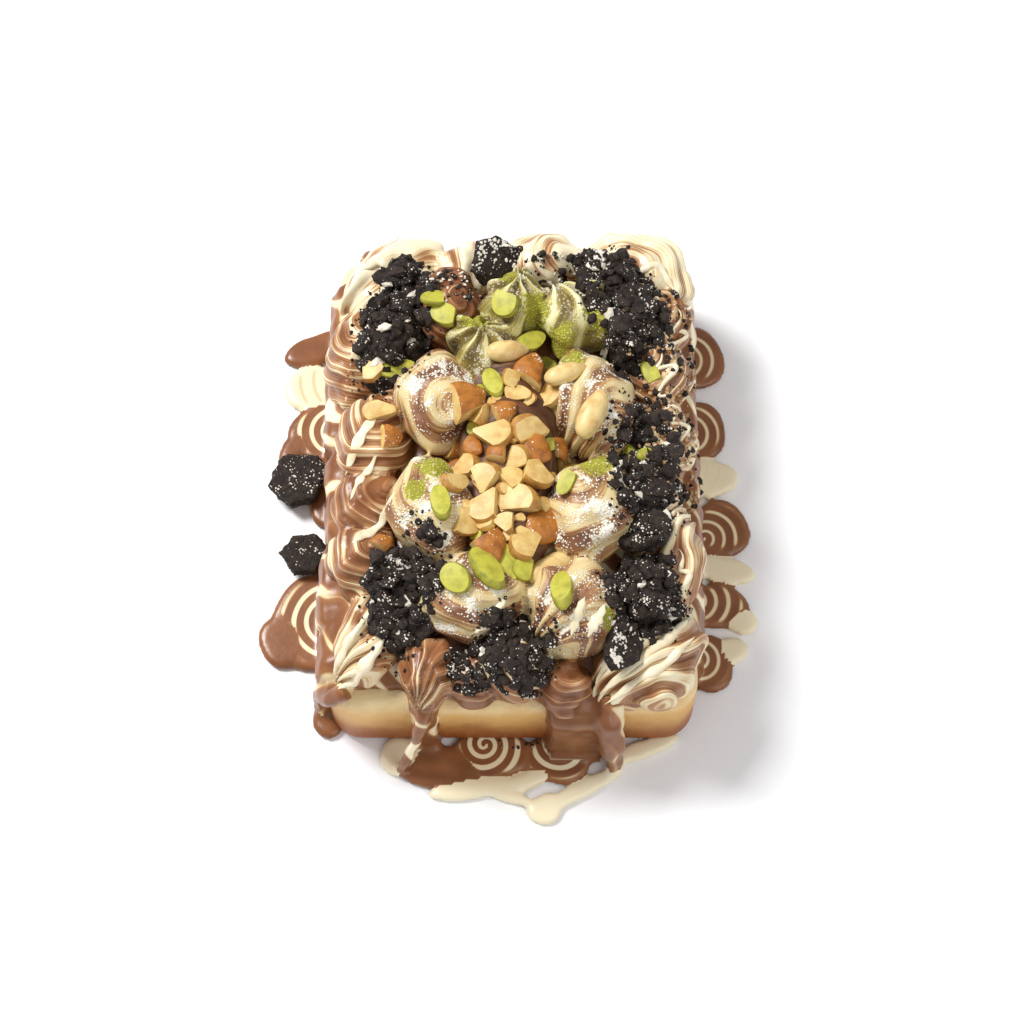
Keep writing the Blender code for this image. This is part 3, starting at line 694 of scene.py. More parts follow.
MARBLED = {
    "marbled_cream_left": (
        Lump((-44.5, -62.0, 37), (12.5, 19.0, 13), -28, 4, 0.07, 0.8, 0.62, (-16, -17), DRAWN, 9, 1.0),
        Lump((-47.5, -37.0, 40), (13.5, 13.0, 13), -20, 4, 0.08, 0.8, 0.5, (4, 3), WOUND, 8),
        Lump((-46.5, -18.5, 41), (13.0, 14.0, 13), -25, 4, 0.08, 0.8, 0.42, (14, 6), WOUND, 8),
        Lump((-45.5, 5.5, 43), (13.0, 19.0, 14), -18, 4, 0.08, 0.9, 0.5, (4, 12), WOUND, 8),
        Lump((-53.0, 37.5, 35), (11.0, 22.0, 14), 0, 4, 0.07, 0.7, 0.5, (4, 14), WOUND, 8),
    ),
    "marbled_cream_back": (
        Lump((-41.0, 71.0, 37), (21.5, 14.0, 13), 38, 4, 0.07, 0.6, 0.78, (-30, -24), DRAWN, 12, 1.0),
        Lump((-22.0, 53.0, 47), (13.5, 15.0, 15), 0, 4, 0.07, 1.0, 0.26, (6, -3), WOUND, 4.5, 0.5),
        Lump((-14.0, 73.0, 40), (13.0, 11.0, 11), 0, 4, 0.06, 0.6, 0.75, (0, -20), DRAWN, 9),
        Lump((10.0, 76.0, 39), (18.0, 11.5, 11), 0, 4, 0.07, 0.6, 0.8, (12, -6), WOUND, 10),
        Lump((44.0, 72.5, 39), (20.0, 15.0, 13), -25, 4, 0.08, 0.9, 0.8, (-14, -14), WOUND, 9, 0.7),
    ),
    "marbled_cream_right": (
        Lump((51.0, 51.0, 41), (10.5, 13.5, 11), 0, 4, 0.06, 0.5, 0.4, (-5, 5), WOUND, 6),
        Lump((48.5, 31.0, 42), (12.0, 17.0, 13), 10, 4, 0.08, 0.7, 0.5, (-4, 4), WOUND, 7),
        Lump((48.0, 3.5, 43), (13.0, 18.0, 13), -10, 4, 0.08, 0.7, 0.6, (12, 5), WOUND, 7),
        Lump((50.5, -33.0, 41), (12.0, 23.0, 13), 8, 4, 0.08, 0.8, 0.62, (11, 17), DRAWN, 6, 0.9),
        Lump((43.5, -69.5, 37), (20.5, 17.0, 14), 32, 4, 0.07, 0.8, 0.6, (-30, -21), DRAWN, 7, 1.1),
    ),
    "marbled_cream_front": (
        Lump((-26.0, -75.0, 41), (10.0, 13.0, 13), -15, 4, 0.1, 1.0, 0.42, (-4, -15), DRAWN, 4.5, 0.7),
        Lump((-12.0, -76.0, 38), (12.0, 10.0, 11), 0, 4, 0.06, 0.5, 0.3, (0, 8), WOUND, 8),
        Lump((0.5, -73.0, 43), (13.0, 13.0, 14), 0, 4, 0.04, 0.0, 0.5, (10, -3), WOUND, 8),
        Lump((15.5, -78.5, 39), (10.5, 10.5, 11), 0, 4, 0.08, 0.7, 0.3, (6, 8), WOUND, 9),
    ),
}

PUDDLES = (
    Puddle(-70.0, 64.0, 13, 6.0, 25, 0.1, 0.0),
    Puddle(-69.0, 48.0, 13, 9.0, 10, 0.84, 0.5, (14, 2)),
    Puddle(-66.5, 30.0, 12.5, 12.5, 0, 0.28, 1.2, (5, 0)),
    Puddle(-77.0, 23.5, 4.5, 7.0, -30, 0.1, 0.0),
    Puddle(-64.5, 2.0, 6.5, 8.5, 0, 0.06, 0.0),
    Puddle(-67.5, -42.5, 15, 18, 0, 0.3, 1.3, (7, 0)),
    Puddle(-77.0, -48.5, 9, 10, 0, 0.06, 0.0),
    Puddle(-61.0, -75.5, 5.5, 8.5, 0, 0.06, 0.0),
    Puddle(-37.0, -89.5, 7, 7, 0, 0.92, 0.2),
    Puddle(-23.0, -93.5, 14, 7.5, 0, 0.12, 0.0),
    Puddle(-7.0, -89.0, 14, 8.5, 0, 0.37, 1.5, (-2, 3)),
    Puddle(15.0, -90.0, 11.5, 9.5, 0, 0.34, 1.4, (1, 4)),
    Puddle(-13.0, -101.0, 16, 3.4, 8, 1.0, 0.0),
    Puddle(5.0, -98.0, 9, 3.2, 20, 0.9, 0.2),
    Puddle(-0.5, -103.8, 8.5, 2.0, -14, 1.0, 0.0),
    Puddle(11.0, -107.5, 6.5, 5.2, 30, 1.0, 0.0),
    Puddle(23.0, -101.0, 17, 3.0, 28, 1.0, 0.0),
    Puddle(43.5, -87.0, 12.5, 3.4, 20, 0.95, 0.0),
    Puddle(64.5, 60.0, 12, 13, 0, 0.2, 1.0, (-4, -1)),
    Puddle(65.5, 31.0, 10.5, 11.5, 0, 0.22, 1.0, (-4, -1)),
    Puddle(69.0, 12.5, 10.0, 7.5, 0, 0.86, 0.3, (-10, 4)),
    Puddle(72.0, -7.0, 10.5, 11.0, 20, 0.2, 1.0, (-6, -4)),
    Puddle(72.5, -22.5, 12, 5.0, -12, 0.92, 0.2, (-12, 0)),
    Puddle(70.5, -36.0, 10.5, 8.5, 0, 0.3, 0.8, (-8, 2)),
    Puddle(78.5, -42.0, 5.5, 4.6, 0, 1.0, 0.0),
    Puddle(74.5, -52.0, 5.5, 5.0, 0, 1.0, 0.0),
    Puddle(65.5, -57.0, 9.5, 10.5, 0, 0.22, 1.0, (-3, 2)),
    Puddle(-38.0, 90.0, 16, 8, 0, 0.7, 0.6, (0, -8)),
    Puddle(6.0, 91.0, 18, 9, 0, 0.3, 1.0, (0, -6)),
    Puddle(42.0, 88.5, 14, 8, 0, 0.6, 0.8, (0, -6)),
)

# Tongues of sauce that run down the waffle's sides, as (x, y, half width, thickness).
TONGUES = (
    (21.0, -84.0, 13.0, 6.0),
    (-28.0, -84.0, 6.5, 3.0),
    (-60.0, -66.0, 12.0, 3.5),
    (-60.0, -42.0, 20.0, 4.0),
    (-60.0, -10.0, 22.0, 3.0),
    (-60.0, 25.0, 24.0, 4.0),
    (-60.0, 56.0, 20.0, 3.5),
    (-38.0, 84.0, 20.0, 3.5),
    (8.0, 84.0, 24.0, 4.0),
    (44.0, 84.0, 18.0, 3.5),
    (60.0, 60.0, 20.0, 4.0),
    (60.0, 30.0, 22.0, 3.0),
    (60.0, 2.0, 20.0, 3.5),
    (60.0, -25.0, 20.0, 4.0),
    (60.0, -52.0, 16.0, 3.5),
)

# Drips as points of (x, y, z, radius).
DRIPS = (
    (
        (-26, -80, 38, 3.0),
        (-28, -87, 33, 2.8),
        (-31, -91, 20, 2.4),
        (-35, -94, 8, 1.8),
        (-37, -96, 1.6, 1.4),
    ),
    (
        (31, -80, 36, 4.5),
        (31, -88, 31, 5.0),
        (32, -91, 20, 5.0),
        (33, -92, 9, 3.6),
        (34, -93, 0.9, 2.6),
    ),
    (
        (-52, -80, 38, 3.6),
        (-57, -81, 33, 3.6),
        (-62, -75, 22, 3.4),
        (-63, -73, 10, 3.2),
        (-63, -73, 3.4, 3.0),
    ),
)


@dataclass
class CreamMass:
    """Lumps of cream that run into one another.

    The streaks wander by bend_mm and the skin sinks and swells by dents_mm, each over its own
    width. The share of white chocolate varies by cloudy.
    """

    name: str
    lumps: tuple[Lump, ...]
    frame: Frame
    voxel_mm: float = 0.8
    pitch: float = 8.5
    bend_mm: float = 3.825
    bend_width_mm: float = 15.0
    dents_mm: float = 0.9
    dents_width_mm: float = 6.0
    cloudy: float = 0.28
    green_spots: tuple[tuple[float, float, float], ...] = ()

    def mesh(self) -> bpy.types.Object:
        """Builds the lumps, runs them together, and raises the pale streaks into soft ridges.

        Returns:
            The mass, in the row frame.
        """
        balls = []
        for lump in self.lumps:
            ball = unit_ball(48, 28)
            move_points(ball, lump.shape(points_of(ball)) * MM)
            balls.append(ball)
        mass = join(balls, self.name)
        apply_modifier(mass, "REMESH", mode="VOXEL", voxel_size=self.voxel_mm * MM)
        apply_modifier(mass, "SMOOTH", iterations=3, factor=0.6)
        points = points_of(mass) / MM
        own = np.stack([lump.nearness(points) for lump in self.lumps]).argmin(axis=0)
        bend = rough(points, self.bend_width_mm) * self.bend_mm
        flow, white, ridge = np.zeros_like(points), np.zeros(len(points)), np.zeros(len(points))
        for i, lump in enumerate(self.lumps):
            mine = own == i
            flow[mine] = lump.flow(points[mine], bend[mine], self.pitch)
            white[mine] = lump.white + self.cloudy * (rough(points[mine], 8, 3) - 0.5)
            ridge[mine] = lump.ridge
        phase = np.arctan2(flow[:, 1], flow[:, 0]) + TURN * flow[:, 2] / self.pitch
        dents = self.dents_mm * (rough(points, self.dents_width_mm, 9) - 0.4)
        lift = ridge * (np.sin(phase) - 1) + dents
        points += normals_of(mass) * lift[:, None]
        move_points(mass, self.frame.place(points))
        set_attribute(mass, "flow", flow)
        set_attribute(mass, "white", white)
        set_attribute(mass, "swirl", np.ones(len(points)))
        if self.green_spots:
            set_attribute(mass, "green", self.greenness(points))
        return mass

    def greenness(self, points: np.ndarray) -> np.ndarray:
        """How much ground pistachio lies at each point: most in the middle of a spot."""
        found = np.zeros(len(points))
        for x, y, radius in self.green_spots:
            away = np.hypot(points[:, 0] - x, points[:, 1] - y) / radius
            found = np.maximum(found, 0.62 * np.exp(-(away**4)))
        return found


@dataclass
class Slab:
    """The waffle itself: a thick slab with round corners, soft edges and pockets underneath.

    A pocket is as wide as mouth at the underside and as floor at its depth. Its edges are round
    by rim, and the cutters start at below under the slab.
    """

    frame: Frame
    width: float = 120.0
    length: float = 168.0
    height: float = 32.0
    corner: float = 11.0
    edge: float = 4.5
    pockets: tuple[int, int] = (4, 6)
    pitch: float = 24.0
    mouth: float = 18.0
    floor: float = 12.5
    depth: float = 11.0
    rim: float = 1.2
    below: float = 2.0

    def outline(self, inset: float, height: float) -> np.ndarray:
        """The slab's outline with its round corners.

        Args:
            inset: How far it is drawn in, in millimetres.
            height: Its level.

        Returns:
            Its points in the waffle's millimetres.
        """
        r = self.corner - inset
        half = np.array((self.width, self.length)) / 2 - self.corner
        points = []
        for k, (sx, sy) in enumerate(((1, 1), (-1, 1), (-1, -1), (1, -1))):
            for a in np.linspace(0, math.pi / 2, 10) + k * math.pi / 2:
                points.append((sx * half[0] + r * math.cos(a), sy * half[1] + r * math.sin(a), height))
        return np.array(points)

    def mesh(self) -> bpy.types.Object:
        """Builds the slab level by level, with soft edges, and sinks the pockets.

        Returns:
            The slab, in the row frame.
        """
        quarter = np.linspace(0, math.pi / 2, 7)
        wide, narrow = self.edge * (1 - np.sin(quarter)), self.edge * (1 - np.cos(quarter))
        rings = [self.outline(inset, height) for inset, height in zip(wide, narrow)]
        rings += [self.outline(inset, self.height - drop) for inset, drop in zip(narrow, wide)]
        slab = stacked("waffle_crumb", rings)
        self.cut_pockets(slab)
        move_points(slab, self.frame.place(points_of(slab)))
        return slab

    def cut_pockets(self, slab: bpy.types.Object) -> None:
        """Sinks the iron's grid of tapering pockets into the underside.

        Args:
            slab: The object.
        """
        cutters = []
        for i in range(self.pockets[0]):
            for j in range(self.pockets[1]):
                deselect()
                bpy.ops.mesh.primitive_cube_add(size=2)
                corners = points_of(bpy.context.object)
                upper = corners[:, 2] > 0
                corners[:, :2] *= np.where(upper, self.floor / 2, self.mouth / 2)[:, None]
                corners[:, 2] = np.where(upper, self.depth, -self.below)
                middle = (np.array((i, j)) - (np.array(self.pockets) - 1) / 2) * self.pitch
                corners[:, :2] += middle
                move_points(bpy.context.object, corners)
                cutters.append(bpy.context.object)
        cutter = join(cutters, "pocket_cutter")
        apply_modifier(cutter, "BEVEL", width=self.rim, segments=3)
        apply_modifier(slab, "BOOLEAN", object=cutter, operation="DIFFERENCE", solver="EXACT")
        bpy.data.objects.remove(cutter, do_unlink=True)


@dataclass
class Sauce:
    """The sauce: a mantle over the waffle, drips down its sides, and puddles round it.

    Where the waffle shows, the mantle lies inside the slab, at the negative thickness bare. At
    each height, side gives the share of a tongue's thickness and top the share of the way to the
    middle. At calm, as (x, y, radius), the drape in front has hardly any streaks.
    """

    frame: Frame
    slab: Slab
    bare: float = -6.0
    side: tuple[tuple[float, float], ...] = (
        (0.0, 1.3),
        (2.4, 1.2),
        (6.0, 1.0),
        (10.0, 0.9),
        (16.0, 0.87),
        (22.0, 0.85),
        (27.0, 0.93),
        (30.0, 1.0),
        (34.5, 0.5),
    )
    top: tuple[tuple[float, float], ...] = ((38.5, 0.1), (42.5, 0.3), (45.8, 0.62))
    voxel_mm: float = 0.97
    pool_height: float = 2.6
    calm: tuple[float, float, float] = (21.0, -88.0, 11.0)

    def walk(self) -> tuple[np.ndarray, np.ndarray]:
        """Points close together round the waffle's outline, and their outward directions.

        Returns:
            The points and the directions.
        """
        half_x, half_y, r = self.slab.width / 2, self.slab.length / 2, self.slab.corner
        corners = ((1, -1, -90), (1, 1, 0), (-1, 1, 90), (-1, -1, 180))
        points, out = [], []
        for k, (sx, sy, first) in enumerate(corners):
            centre = np.array((sx * (half_x - r), sy * (half_y - r)))
            for a in np.radians(np.linspace(first, first + 90, 9)):
                out.append(np.array((math.cos(a), math.sin(a))))
                points.append(centre + out[-1] * r)
            nx, ny, _ = corners[(k + 1) % 4]
            start, end = points[-1], np.array((nx * (half_x - r), ny * (half_y - r))) + out[-1] * r
            steps = int(np.linalg.norm(end - start) / 2.0)
            for i in range(1, steps):
                points.append(start + (end - start) * i / steps)
                out.append(out[-1])
        return np.array(points), np.array(out)

    def thickness(self, points: np.ndarray) -> np.ndarray:
        """How thick the sauce is on the waffle's side at each point of its outline."""
        found = np.full(len(points), self.bare)
        for x, y, half_width, thick in TONGUES:
            share = 1 - np.hypot(points[:, 0] - x, points[:, 1] - y) / half_width
            soft = np.clip(share / 0.4, 0, 1)
            found = np.maximum(found, self.bare + (thick - self.bare) * eased(soft))
        return found

    def mantle(self) -> bpy.types.Object:
        """Builds the sauce over the waffle, level by level."""
        points, out = self.walk()
        thick = self.thickness(points)
        rings = []
        for height, share in self.side:
            reach = np.where(thick > 0, thick * share, thick)
            rings.append(np.column_stack((points + out * reach[:, None], np.full(len(points), height))))
        for height, share in self.top:
            flat = (points + out * np.minimum(thick * 0.3, 0)[:, None]) * (1 - share)
            rings.append(np.column_stack((flat, np.full(len(flat), height))))
        return stacked("mantle", rings)

    def puddle(self, pool: Puddle) -> bpy.types.Object:
        """Builds one puddle with a round edge."""
        angles = np.linspace(0, TURN, 48, endpoint=False)
        reach = pool.reach(angles)
        rings = []
        for inset, height in ((0.3, 0.0), (0.0, 0.6), (0.1, 1.3), (0.7, 2.1), (1.8, self.pool_height)):
            x, y = pool.x + np.cos(angles) * (reach - inset), pool.y + np.sin(angles) * (reach - inset)
            rings.append(np.column_stack((x, y, np.full(48, height))))
        return stacked("puddle", rings)

    def drip(self, route: tuple[tuple[float, float, float, float], ...]) -> bpy.types.Object:
        """Builds one tapering drip.

        Args:
            route: Its points as (x, y, z, radius).

        Returns:
            The drip, in millimetres.
        """
        stops = np.array(route, float)
        finer = np.linspace(0, len(stops) - 1, 24)
        stops = np.column_stack([np.interp(finer, range(len(stops)), stops[:, k]) for k in range(4)])
        along = np.gradient(stops[:, :3], axis=0)
        along /= np.linalg.norm(along, axis=1)[:, None]
        side = np.cross(along, (1.0, 0.0, 0.0))
        side /= np.linalg.norm(side, axis=1)[:, None]
        up = np.cross(along, side)
        a = np.linspace(0, TURN, 20, endpoint=False)[:, None]
        rings = []
        for (*middle, radius), right, over in zip(stops, side, up):
            rings.append(np.array(middle) + (right * np.cos(a) + over * np.sin(a)) * radius)
        return stacked("drip", rings)

    def mesh(self) -> bpy.types.Object:
        """Runs the mantle, drips and puddles together and marks how they flow.

        Returns:
            The sauce, in the row frame.
        """
        pieces = [self.mantle()]
        pieces += [self.puddle(pool) for pool in PUDDLES]
        pieces += [self.drip(route) for route in DRIPS]
        sauce = join(pieces, "sauce_poured_over")
        move_points(sauce, points_of(sauce) * MM)
        apply_modifier(sauce, "REMESH", mode="VOXEL", voxel_size=self.voxel_mm * MM)
        apply_modifier(sauce, "SMOOTH", iterations=3, factor=0.5)
        points = points_of(sauce) / MM
        raised = np.clip((points[:, 2] - self.pool_height) / 4, 0, 1)
        points += normals_of(sauce) * (0.9 * (rough(points, 6) - 0.4) * raised)[:, None]
        points[:, 2] = np.maximum(points[:, 2], 0.0)
        self.mark_flow(sauce, points)
        move_points(sauce, self.frame.place(points))
        return sauce

    def mark_flow(self, sauce: bpy.types.Object, points: np.ndarray) -> None:
        """Marks where each point lies in its puddle's swirl, or along its drape.

        Args:
            sauce: The object.
            points: Its points in the waffle's millimetres.
        """
        nearness = np.stack([pool.nearness(points) for pool in PUDDLES])
        own = nearness.argmin(axis=0)
        near, second = np.sort(nearness, axis=0)[:2]
        bend = rough(points, 12)
        across = (points[:, 0] + points[:, 1]) * 0.26 + bend * 2.4
        flow = np.column_stack((np.ones(len(points)), np.zeros(len(points)), across))
        calm_x, calm_y, calm_r = self.calm
        still = np.exp(-(((points[:, 0] - calm_x) ** 2 + (points[:, 1] - calm_y) ** 2) / calm_r**2) ** 2)
        white = 0.22 - 0.18 * still + 0.4 * rough(points, 14, 5)
        swirl = 0.8 - 0.7 * still
        low = points[:, 2] < 3.4
        for i, pool in enumerate(PUDDLES):
            mine = low & (own == i)
            x, y = (points[mine, :2] - (pool.x, pool.y) - np.array(pool.eye)).T
            turn, out = np.arctan2(y, x), 1.7 * np.hypot(x, y) ** 0.8
            flow[mine] = np.column_stack((np.cos(turn), np.sin(turn), out + 0.5 * bend[mine]))
            white[mine] = pool.white + (0.0 if pool.white > 0.6 else -0.03)
            from_edge = np.clip((0.96 - near[mine]) / 0.35, 0, 1)
            from_next = np.clip((second[mine] - near[mine]) / 0.3, 0, 1)
            swirl[mine] = pool.swirl * eased(from_edge * from_next)
        set_attribute(sauce, "flow", flow)
        set_attribute(sauce, "white", white)
        set_attribute(sauce, "swirl", swirl)


# The bed that the nuts lie in. Its dark brown is painted shade for the shadowed gaps between the nuts.
NUT_BED = Lump((-1.0, -6.0, 53), (17.0, 50.0, 10.5), white=0.3)

# Short names for the rows of nuts, which are (kind, x, y, length, width, turn).
B, K, A, P = Kind.BLANCHED, Kind.KERNEL, Kind.ALMOND, Kind.PISTACHIO

HEAPED_NUTS = (
    (B, -0.3, 20.2, 7.0, 4.5, 80),
    (B, 1.9, 13.6, 8.0, 4.5, -10),
    (B, 11.7, 14.3, 9.5, 8.0, 20),
    (B, -5.8, -2.0, 10.5, 8.5, 10),
    (B, 5.8, -0.3, 9.5, 8.0, 0),
    (B, 1.6, -10.6, 7.5, 7.0, 60),
    (B, -15.0, -11.3, 7.0, 8.0, 120),
    (B, -8.9, -16.8, 9.0, 8.0, 30),
    (B, -0.3, -17.6, 7.5, 6.5, 30),
    (B, 7.9, -15.7, 7.0, 9.0, 70),
    (B, 16.9, -9.6, 9.0, 6.5, 40),
    (B, -18.1, -19.1, 7.0, 6.0, 20),
    (B, -7.9, -26.3, 10.0, 8.5, 40),
    (B, 2.5, -25.2, 10.5, 8.5, -20),
    (B, -14.5, -31.4, 7.0, 9.0, 100),
    (B, 4.7, -39.7, 9.0, 8.0, 0),
    (B, -2.2, -33.0, 9.0, 5.5, 20),
    (B, -11.0, 5.6, 9.0, 6.5, 20),
    (K, 13.8, -43.5, 19.0, 7.5, 42),
    (K, 17.5, 20.3, 12.0, 6.0, 20),
    (K, -1.3, 30.0, 12.0, 6.0, 10),
    (A, 5.8, 21.9, 13.0, 9.5, 75),
    (A, -15.8, 9.8, 14.0, 12.0, 30),
    (A, -3.2, 5.6, 9.5, 7.5, 40),
    (A, 6.4, -6.6, 11.5, 10.0, -30),
    (A, 14.7, -1.8, 10.0, 6.0, -60),
    (A, -18.9, -6.8, 9.0, 6.0, -50),
    (A, -13.4, -4.7, 9.0, 6.0, -40),
    (A, -4.8, -8.7, 9.5, 6.0, 80),
    (A, 11.6, -30.9, 14.5, 9.5, 25),
    (A, -7.8, -39.2, 12.0, 10.0, -60),
    (A, -18.3, -0.6, 8.0, 7.0, 0),
    (P, 5.9, 36.0, 10.5, 5.5, 35),
    (P, 11.5, 31.0, 8.5, 7.5, -40),
    (P, 14.7, 26.4, 10.0, 6.5, 10),
    (P, -6.2, 17.6, 10.0, 5.5, -70),
    (P, -7.8, -49.4, 14.5, 7.5, -60),
    (P, -1.9, -44.5, 12.5, 5.0, -70),
    (P, 4.0, -47.0, 7.0, 7.0, 0),
    (P, 17.6, -19.0, 9.0, 4.5, 60),
)
NUTS_APART = (
    (K, 26.0, 4.5, 15.0, 7.0, 65),
    (P, -22.5, -27.6, 10.5, 5.5, -80),
    (P, -17.4, -53.4, 9.5, 7.5, -50),
    (P, 15.5, -57.0, 12.0, 6.0, -85),
    (P, -2.0, 46.5, 9.0, 8.0, 90),
    (P, -22.0, 44.5, 9.0, 6.5, -30),
    (P, -25.5, 50.0, 8.5, 5.0, 10),
    (A, -40.5, 1.0, 8.5, 7.5, 10),
    (B, -43.0, 10.0, 9.0, 6.0, 0),
    (A, -41.5, -35.5, 6.5, 6.0, 40),
    (P, -38.2, 28.0, 11.5, 5.5, 10),
    (B, -46.5, 27.5, 6.0, 7.5, 90),
    (P, 37.5, -4.8, 8.5, 5.0, -50),
    (P, 44.0, -6.6, 7.5, 4.5, 25),
    (P, 46.0, 26.0, 9.0, 4.5, -65),
)


@dataclass
class Surface:
    """What small things fall on: the tops of the pieces made so far, met from a height in metres."""

    trees: list[BVHTree] = field(default_factory=list)
    above: float = 0.2

    def add(self, obj: bpy.types.Object) -> None:
        """Adds a piece's mesh."""
        verts = [v.co for v in obj.data.vertices]
        self.trees.append(BVHTree.FromPolygons(verts, [p.vertices for p in obj.data.polygons]))

    def drop(self, x: float, y: float) -> tuple[Vector, Vector] | None:
        """Finds the highest point under a place.

        Args:
            x: The place in metres.
            y: The place in metres.

        Returns:
            The point and its normal, or None where there is nothing.
        """
        best = None
        for tree in self.trees:
            point, normal, _, _ = tree.ray_cast(Vector((x, y, self.above)), Vector((0, 0, -1)))
            if point and (best is None or point.z > best[0].z):
                best = (point, normal)
        return best


@dataclass(frozen=True)
class NutShape:
    """A sort of nut: its thickness as a share of its width, how far it narrows, and its swell."""

    thickness: float
    taper: float
    swell: float = 1.06


NUT_SHAPES = {
    Kind.BLANCHED: NutShape(0.7, 0.25, 1.18),
    Kind.KERNEL: NutShape(0.9, 0.3),
    Kind.ALMOND: NutShape(0.55, 0.5),
    Kind.PISTACHIO: NutShape(0.75, 0.1),
}


@dataclass
class Nuts:
    """The nuts: whole, halved or chopped, with flat cut faces and slightly blunt edges.

    Almonds and pistachios shorter than the two lengths here are chopped ones, with more cuts.
    """

    frame: Frame
    surface: Surface
    paints: dict[Kind, tuple[bpy.types.Material, bpy.types.Material]]
    bigger: float = 1.14
    sink: float = 0.31
    blunt: float = 0.45
    whole_almond: float = 16.0
    whole_pistachio: float = 10.5
    heap_reach: tuple[float, float] = (16.0, 38.0)
    draw: random.Random = field(default_factory=lambda: random.Random(11))

    def cut(self, nut: bpy.types.Object, way: Vector, depth: float) -> None:
        """Cuts the nut along a plane and closes it with a flat face in the second material.

        Args:
            nut: The nut.
            way: The plane's normal.
            depth: How far from the nut's middle the plane lies.
        """
        activate(nut)
        way = way.normalized()
        bpy.ops.object.mode_set(mode="EDIT")
        bpy.ops.mesh.select_all(action="SELECT")
        bpy.ops.mesh.bisect(plane_co=way * depth, plane_no=way, use_fill=True, clear_outer=True)
        bpy.ops.object.mode_set(mode="OBJECT")
        for face in nut.data.polygons:
            if face.normal.dot(way) > 0.999 and abs(face.center.dot(way) - depth) < 1e-3:
                face.material_index = 1

    def shape(self, kind: Kind, length: float, width: float) -> tuple[bpy.types.Object, float]:
        """Shapes one nut at the origin, lying flat.

        Args:
            kind: Its sort.
            length: Its length in millimetres.
            width: Its width in millimetres.

        Returns:
            The nut and its thickness.
        """
        shape = NUT_SHAPES[kind]
        length, width = length * self.bigger, width * self.bigger
        thick = width * shape.thickness
        nut = unit_rock(4)
        unit = points_of(nut)
        narrow = 1 - shape.taper * np.sign(unit[:, 0]) * unit[:, 0] ** 2
        unit[:, 1:] *= narrow[:, None]
        bumps = 1 + 0.03 * rough(unit * 3 + self.draw.uniform(0, 50), 2.0)
        move_points(nut, unit * (np.array((length, width, thick)) / 2 * shape.swell) * bumps[:, None])
        for paint in self.paints[kind]:
            nut.data.materials.append(paint)
        self.chop(nut, kind, (length, width, thick))
        apply_modifier(nut, "BEVEL", width=self.blunt, segments=2, limit_method="ANGLE", angle_limit=0.5)
        return nut, thick

    def chop(self, nut: bpy.types.Object, kind: Kind, size: tuple[float, float, float]) -> None:
        """Cuts a nut as its sort is chopped. A kernel and a large almond stay whole.

        Args:
            nut: The nut.
            kind: Its sort.
            size: Its length, width and thickness.
        """
        length, width, thick = size
        a = self.draw.uniform(0, TURN)
        if kind is Kind.BLANCHED:
            side = Vector((math.cos(a), math.sin(a) * 1.3, self.draw.uniform(-0.2, 0.4)))
            self.cut(nut, side, width * 0.33)
            if self.draw.random() < 0.6:
                a += self.draw.uniform(1.8, 2.6)
                side = Vector((math.cos(a), math.sin(a) * 1.3, self.draw.uniform(-0.2, 0.3)))
                self.cut(nut, side, width * 0.4)
            top = Vector((self.draw.uniform(-0.35, 0.35), self.draw.uniform(-0.35, 0.35), 1))
            self.cut(nut, top, thick * 0.26)
        elif kind is Kind.ALMOND and length < self.whole_almond:
            self.cut(nut, Vector((-1, self.draw.uniform(-0.6, 0.6), 0.25)), length * 0.2)
            self.cut(nut, Vector((0.1, -1, 0.1)), width * 0.36)
        elif kind is Kind.PISTACHIO:
            top = Vector((self.draw.uniform(-0.2, 0.2), self.draw.uniform(-0.3, 0.3), 1))
            self.cut(nut, top, thick * 0.22)
            if length < self.whole_pistachio:
                self.cut(nut, Vector((1, self.draw.uniform(-0.5, 0.5), 0.1)), length * 0.3)

    def place(self, nut: tuple[Kind, float, float, float, float, float]) -> bpy.types.Object | None:
        """Makes one nut and beds it in what lies under it.

        Args:
            nut: Its kind, place, length, width and turn.

        Returns:
            The nut in the row frame, or None where nothing lies under it.
        """
        kind, x, y, length, width, turn = nut
        at = self.frame.place(np.array([[x, y, 0.0]]))[0]
        found = self.surface.drop(at[0], at[1])
        if found is None:
            return None
        obj, thick = self.shape(kind, length, width)
        up = Vector((0, 0, 1))
        tilt = up.rotation_difference(found[1].lerp(up, 0.5).normalized()).to_matrix().to_4x4()
        spin = Matrix.Rotation(math.radians(turn), 4, "Z")
        tip = Matrix.Rotation(math.radians(self.draw.uniform(-15, 15)), 4, "X")
        height = found[0].z + thick * (0.5 - self.sink) * MM
        place = Matrix.Translation((at[0], at[1], height))
        obj.data.transform(place @ tilt @ spin @ tip @ Matrix.Scale(MM, 4))
        return obj

    def filler(self, count: int) -> list[tuple[Kind, float, float, float, float, float]]:
        """Small chopped bits between the larger nuts of the heap.

        Args:
            count: How many.

        Returns:
            Nuts, each as its kind, place, length, width and turn.
        """
        bits = []
        across, along = self.heap_reach
        for _ in range(count):
            a, r = self.draw.uniform(0, TURN), math.sqrt(self.draw.random())
            kind = self.draw.choice((B, B, A, P))
            length = self.draw.uniform(3.5, 6.0)
            x = NUT_BED.at[0] + math.cos(a) * r * across
            y = NUT_BED.at[1] + math.sin(a) * r * along
            width = length * self.draw.uniform(0.6, 0.9)
            bits.append((kind, x, y, length, width, self.draw.uniform(0, 360)))
        return bits


@dataclass(frozen=True)
class Cord:
    """A soft cord of white chocolate by the places it runs through and its half width and height.

    Its curl is how far it waves from its path, in millimetres.
    """

    path: tuple[tuple[float, float], ...]
    half_width: float = 1.6
    half_height: float = 1.2
    curl: float = 0.0


